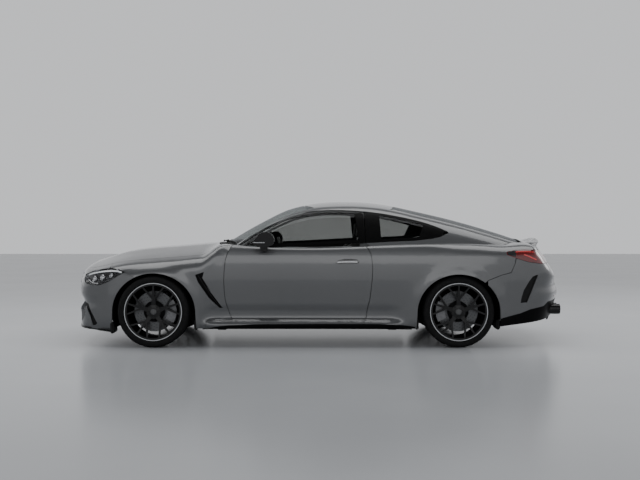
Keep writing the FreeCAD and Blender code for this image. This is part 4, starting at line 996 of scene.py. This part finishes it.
def boot_lip():
    lid = skin_of("boot_lid")
    bm = bmesh.new()
    rings = []
    for i in range(LIP_STEPS + 1):
        y = LIP_HALF * (2 * i / LIP_STEPS - 1)
        edge = lid_edge(lid, y)
        if not edge:
            continue
        rise = LIP_RISE * (1 - abs(y / LIP_HALF) ** 6) ** 0.5 if abs(y) < LIP_HALF * 0.999 else 0.0
        row = []
        for back, share in LIP_SECTION:
            under = hit_on(lid, top_aim, edge.x - max(back, 0.0), y)
            row.append((edge.x - back, y, under[0].z + BOND + rise * share))
        row.append((edge.x - 0.004, y, edge.z + BOND + rise * 0.20))
        row.append((edge.x - 0.004, y, edge.z + 0.0004))
        rings.append([bm.verts.new(p) for p in row])
    join_rings(bm, rings, False)
    new_piece("boot_lip", bm, PAINT, "boot_lid")


boot_lip()


# Mirror glass, an oval with full corners, and a bright strip along the shell's seam as a painted highlight
OVAL_HALF, OVAL_OFF = (0.074, 0.048), 0.022


def fuller(value):
    return math.copysign(abs(value) ** 0.7, value)


for s, k in SIDES:
    low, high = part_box("mirror_" + s)
    mirror = skin_of("mirror_" + s)
    cy, cz = (low[1] + high[1]) / 2 + OVAL_OFF * k, 0.5 * (low[2] + high[2]) + OVAL_OFF
    oval = [(cy + OVAL_HALF[0] * fuller(math.cos(t)), cz + OVAL_HALF[1] * fuller(math.sin(t)))
            for t in turns(28)]
    drape("mirror_glass_" + s, oval, rear_aim, mirror, 0.001, PRINT, MIRROR, MEDIUM, body="door_" + s)
    found = around(mirror, (-0.50, cy, cz - 0.030), k, -1, 75, 18)
    path = lifted(found, 0.0005)[0]
    # The bright strip on the black shell's seam is a painted highlight
    sweep("mirror_seam_" + s, path, flat_profile(0.004, 0.004), SEAM_HIGHLIGHT, body="door_" + s)

# Door handles: a painted highlight along the bar's edge, and painted shade as a dark sheet over the recess
# behind it
HANDLE_HIGHLIGHT = [(0.166, 0.8035), (0.22, 0.807), (0.30, 0.808), (0.350, 0.806)]
RECESS_SHADE = mm([(146, 797), (170, 820), (230, 834), (300, 835), (352, 828), (372, 812), (368, 797), (340, 792),
             (180, 788)])
RECESS_SHADE_STEP, RECESS_SHADE_LIFT, RECESS_SHADE_THICK = 0.014, 0.0012, 0.0008


def handle_parts(s, k):
    aim = side_aim(k)
    door = skin_of("door_" + s)
    # Bright strip on the handle's top edge: a painted highlight
    lay_bar("handle_edge_" + s, HANDLE_HIGHLIGHT, aim, door, 0.0008, 0.0035, 0.002, BRIGHT, "door_" + s)
    # Thin dark sheet laid just over the recess: painted shade, not a sunk hollow
    reach = fitted(RECESS_SHADE, door, aim, 0.05, 0.9)
    points, faces = flat_mesh(RECESS_SHADE, RECESS_SHADE_STEP)
    bm = bmesh.new()
    rim = [bm.verts.new(aim(a, b)[0] + aim(a, b)[1] * (reach(a, b) - RECESS_SHADE_LIFT)) for a, b in points]
    for f in faces:
        bm.faces.new([rim[i] for i in f])
    bmesh.ops.solidify(bm, geom=bm.faces[:] + bm.edges[:] + bm.verts[:], thickness=RECESS_SHADE_THICK)
    new_piece("handle_recess_" + s, bm, SMOKE, "door_" + s)


for s, k in SIDES:
    handle_parts(s, k)

# Rear reflectors
bumper = skin_of("rear_bumper", "diffuser")
for s, k in SIDES:
    patch = [(k * 0.52, 0.452), (k * 0.68, 0.462), (k * 0.685, 0.476), (k * 0.52, 0.468)]
    drape("rear_reflector_" + s, patch, rear_aim, bumper, 0.002, PLATE, LAMP_RED, MEDIUM)


# Seats
PAD_TRAVEL = 0.010
VOXEL = 0.009
PRESSURE = 4.0
FRAMES = 20
blown = {}


def cloth_result(data):
    """The remeshed skin before and after a short cloth simulation under inner pressure."""
    scene = bpy.context.scene
    work = linked("pad_work", data.copy())
    remesh = work.modifiers.new("remesh", "REMESH")
    remesh.mode = "VOXEL"
    remesh.voxel_size = VOXEL
    remesh.use_smooth_shade = True
    rest = bpy.data.meshes.new_from_object(work.evaluated_get(bpy.context.evaluated_depsgraph_get()))
    work.modifiers.clear()
    work.data = rest
    cloth = work.modifiers.new("cloth", "CLOTH")
    cloth.settings.use_pressure = True
    cloth.settings.uniform_pressure_force = PRESSURE
    cloth.settings.effector_weights.gravity = 0.0
    cloth.settings.quality = 4
    cloth.point_cache.frame_start = 1
    cloth.point_cache.frame_end = FRAMES
    for number in range(1, FRAMES + 1):
        scene.frame_set(number)
    swollen = bpy.data.meshes.new_from_object(work.evaluated_get(bpy.context.evaluated_depsgraph_get()))
    bpy.data.objects.remove(work)
    scene.frame_set(1)
    return rest, swollen


def places(me):
    flat = np.empty(len(me.vertices) * 3)
    me.vertices.foreach_get("co", flat)
    return flat.reshape(-1, 3)


def inflated(obj, key, y0):
    """The pad is blown up as sewn leather, with each point's travel capped.
    The right-hand pad is the left one's result, moved across."""
    if key in blown:
        swollen = blown[key][0].copy()
        swollen.transform(Matrix.Translation((0, y0 - blown[key][1], 0)))
        obj.data = swollen
        return
    rest, swollen = cloth_result(obj.data)
    start = places(rest)
    travel = places(swollen) - start
    size = np.linalg.norm(travel, axis=1, keepdims=True)
    travel *= np.minimum(1.0, PAD_TRAVEL / np.maximum(size, 1e-9))
    swollen.vertices.foreach_set("co", (start + travel).ravel())
    swollen.update()
    swollen.materials.clear()
    swollen.materials.append(LEATHER[0])
    swollen.shade_smooth()
    obj.data = swollen
    blown[key] = (swollen, y0)


def on_spine(spine, u):
    """Place on a spine at a share of its length, and the way off its right side."""
    length = [0.0]
    for a, b in zip(spine, spine[1:]):
        length.append(length[-1] + math.hypot(b[0] - a[0], b[1] - a[1]))
    far = u * length[-1]
    j = max(n for n in range(len(spine) - 1) if length[n] <= far + 1e-9)
    t = (far - length[j]) / (length[j + 1] - length[j])
    a, b = Vector(spine[j]), Vector(spine[j + 1])
    before = Vector(spine[max(j - 1, 0)])
    after = Vector(spine[min(j + 2, len(spine) - 1)])
    way = ((b - before).normalized() * (1 - t) + (after - a).normalized() * t).normalized()
    return a.lerp(b, t), Vector((-way.y, way.x))


def pad(name, spine, y0, width, depth, bolster, rows=22, cols=22, crown=0.018, taper=0.0, blow=True):
    """Crowned closed form along a spine of (x, z) points, with side bolsters, channels and pleats."""
    bm = bmesh.new()
    rings = []
    for i in range(rows + 1):
        u = i / rows
        p, off = on_spine(spine, u)
        end = min(1.0, min(u, 1 - u) * 6.5)
        end = math.sqrt(max(0.0, 1 - (1 - end) ** 2))
        half = width / 2 * (1 - taper * u) * (0.93 + 0.07 * end)
        ring = []
        for j in range(cols * 2):
            front = j < cols
            v = (j % cols) / (cols - 1) if front else 1 - (j % cols) / (cols - 1)
            w = 2 * v - 1
            edge = math.sqrt(max(0.0, 1 - abs(w) ** 6))
            rise = bolster * math.exp(-((abs(w) - 0.80) / 0.13) ** 2) * (0.4 + 0.6 * end)
            channel = -0.006 * math.exp(-((abs(w) - 0.60) / 0.03) ** 2)
            pleat = -0.004 * (0.5 + 0.5 * math.cos(2 * math.pi * u * 7)) ** 6 * (abs(w) < 0.58)
            high = depth * end * edge + (crown * (1 - w * w) * end + rise + channel + pleat) * edge
            q = p + off * (high if front else depth * 0.05 * (1 - end * edge))
            ring.append(bm.verts.new((q.x, y0 + w * half, q.y)))
        rings.append(ring)
    join_rings(bm, rings, False)
    bmesh.ops.remove_doubles(bm, verts=bm.verts[:], dist=0.0004)
    bmesh.ops.smooth_vert(bm, verts=bm.verts[:], factor=0.4, use_axis_x=True, use_axis_y=True,
                          use_axis_z=True)
    obj = new_piece(name, bm, LEATHER)
    if blow:
        inflated(obj, name.rsplit("_", 1)[0], y0)


FRONT_CUSHION = [(-0.30, 0.350), (-0.15, 0.345), (0.02, 0.325), (0.170, 0.320)]
FRONT_BACK = [(0.235, 0.340), (0.285, 0.50), (0.335, 0.68), (0.385, 0.84), (0.415, 0.985)]
FRONT_HEAD = [(0.445, 1.010), (0.455, 1.07), (0.462, 1.13), (0.464, 1.190)]
SEAT_SHELL = [(0.250, 0.36), (0.30, 0.52), (0.35, 0.70), (0.398, 0.85), (0.425, 0.96)]
BENCH_CUSHION = [(0.455, 0.340), (0.60, 0.345), (0.78, 0.330)]
BENCH_BACK = [(0.872, 0.385), (0.955, 0.54), (1.045, 0.70), (1.135, 0.86)]
BENCH_HEAD = [(1.140, 0.862), (1.165, 0.885), (1.180, 0.905)]
SEAT_FLOOR = 0.1863

for s, y in (("left", -0.37), ("right", 0.37)):
    base = block("seat_base_" + s, (-0.28, y - 0.19, SEAT_FLOOR), (0.15, y + 0.19, 0.330), SEAT_MATTE, 0.02)
    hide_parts("front_seats")
    pad("seat_cushion_" + s, FRONT_CUSHION, y, width=0.50, depth=0.115, bolster=0.040)
    pad("seat_back_" + s, FRONT_BACK, y, width=0.48, depth=0.115, bolster=0.045, taper=0.20)
    pad("headrest_" + s, FRONT_HEAD, y, width=0.26, depth=0.085, bolster=0.004, rows=14, cols=14,
        crown=0.012, taper=0.12, blow=False)
    for j in (-0.05, 0.05):
        rod = [Vector((0.400, y + j, 0.955)), Vector((0.415, y + j, 1.045))]
        sweep("headrest_rod_%d_%s" % (j > 0, s), rod, round_profile(0.012, 0.012, 8), CHROME,
              [Vector((1, 0, 0))])
    sweep("seat_shell_" + s, [Vector((x, y, z)) for x, z in SEAT_SHELL],
          [(-0.20, -0.004), (0.20, -0.004), (0.21, 0.012), (-0.21, 0.012)], SEAT_MATTE,
          [Vector((1, 0, -0.3)).normalized()])
bench_low = block("bench_base", (0.47, -0.46, SEAT_FLOOR), (0.68, 0.46, 0.34), SEAT_MATTE, 0.02)
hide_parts("rear_seat")
for s, y in (("left", -0.235), ("right", 0.235)):
    pad("bench_cushion_" + s, BENCH_CUSHION, y, width=0.45, depth=0.095, bolster=0.025)
    pad("bench_back_" + s, BENCH_BACK, y, width=0.45, depth=0.10, bolster=0.03, taper=0.05)
    pad("bench_head_" + s, BENCH_HEAD, y, width=0.24, depth=0.060, bolster=0.003, rows=8, cols=12,
        crown=0.008, taper=0.1, blow=False)

# Dashboard screens, air vents and console
tilt = Matrix.Rotation(math.radians(-18), 3, "Y")
block("driver_screen", (-0.548, -0.52, 0.905), (-0.530, -0.22, 1.010), SCREEN, 0.004, tilt)
block("centre_screen", (-0.520, -0.105, 0.690), (-0.495, 0.105, 0.870), SCREEN, 0.004, tilt)
for i, y in enumerate((-0.60, -0.16, 0.16, 0.60)):
    block("air_vent_%d" % i, (-0.500, y - 0.045, 0.800), (-0.478, y + 0.045, 0.850), CHROME, 0.006)
block("console_lid", (-0.10, -0.09, 0.518), (0.11, 0.09, 0.560), LEATHER, 0.02)
block("console_trim", (-0.46, -0.10, 0.536), (-0.12, 0.10, 0.552), GLOSS, 0.006)

# Camera, level and square to the car's left side
CAMERA_AWAY, CAMERA_HIGH = 9.3, 1.122
IMAGE_WIDTH, SHIFT_PIXELS = 640, -11.5
cam = bpy.data.cameras.new("camera")
cam.lens = 50.0
cam.sensor_width = 36.0
cam.shift_y = SHIFT_PIXELS / IMAGE_WIDTH
cam.clip_end = 200.0
cam_obj = linked("camera", cam)
cam_obj.location = (0.0, -CAMERA_AWAY, CAMERA_HIGH)
cam_obj.rotation_euler = (math.radians(90), 0, 0)
bpy.context.scene.camera = cam_obj

# Floor
floor_shader = Shader("floor")
floor_shader.colour(floor_shader.blend(floor_shader.mottle(0.6, 3.0), (0.44, 0.455, 0.475),
                                       (0.47, 0.485, 0.505)))
floor_shader.put(roughness=0.22, specular_ior_level=0.45)
bm = bmesh.new()
bmesh.ops.create_grid(bm, x_segments=8, y_segments=8, size=30.0)
me = bpy.data.meshes.new("floor")
bm.to_mesh(me)
bm.free()
floor = linked("floor", me)
floor.data.materials.append(floor_shader.mat)

# Surroundings: pale low down and dark overhead
world = bpy.data.worlds.new("studio")
bpy.context.scene.world = world
world.use_nodes = True
sky = world.node_tree.nodes["Background"]
air = Nodes(world.node_tree, "Generated")
height = air.ramp(air.split(air.coord)[2], 0.0, 1.0, 0.50, 0.66)
air.link(air.blend(height, (0.86, 0.87, 0.89), (0.11, 0.113, 0.118)), sky.inputs["Color"])
sky.inputs["Strength"].default_value = 0.85


def lamp(name, place, aim, size, watts):
    data = bpy.data.lights.new(name, "AREA")
    data.shape = "RECTANGLE"
    data.size, data.size_y = size
    data.energy = watts
    obj = linked(name, data)
    obj.location = place
    obj.rotation_euler = (Vector(aim) - Vector(place)).to_track_quat("-Z", "Y").to_euler()


lamp("over", (0, 0.2, 6.0), (0, 0.2, 0.6), (12.0, 4.4), 380)
lamp("side", (-1.0, -10.0, 4.4), (0, 0, 0.6), (12.0, 3.0), 130)
lamp("rear_fill", (7.5, 4.0, 4.0), (0, 0, 0.6), (4.0, 3.0), 90)
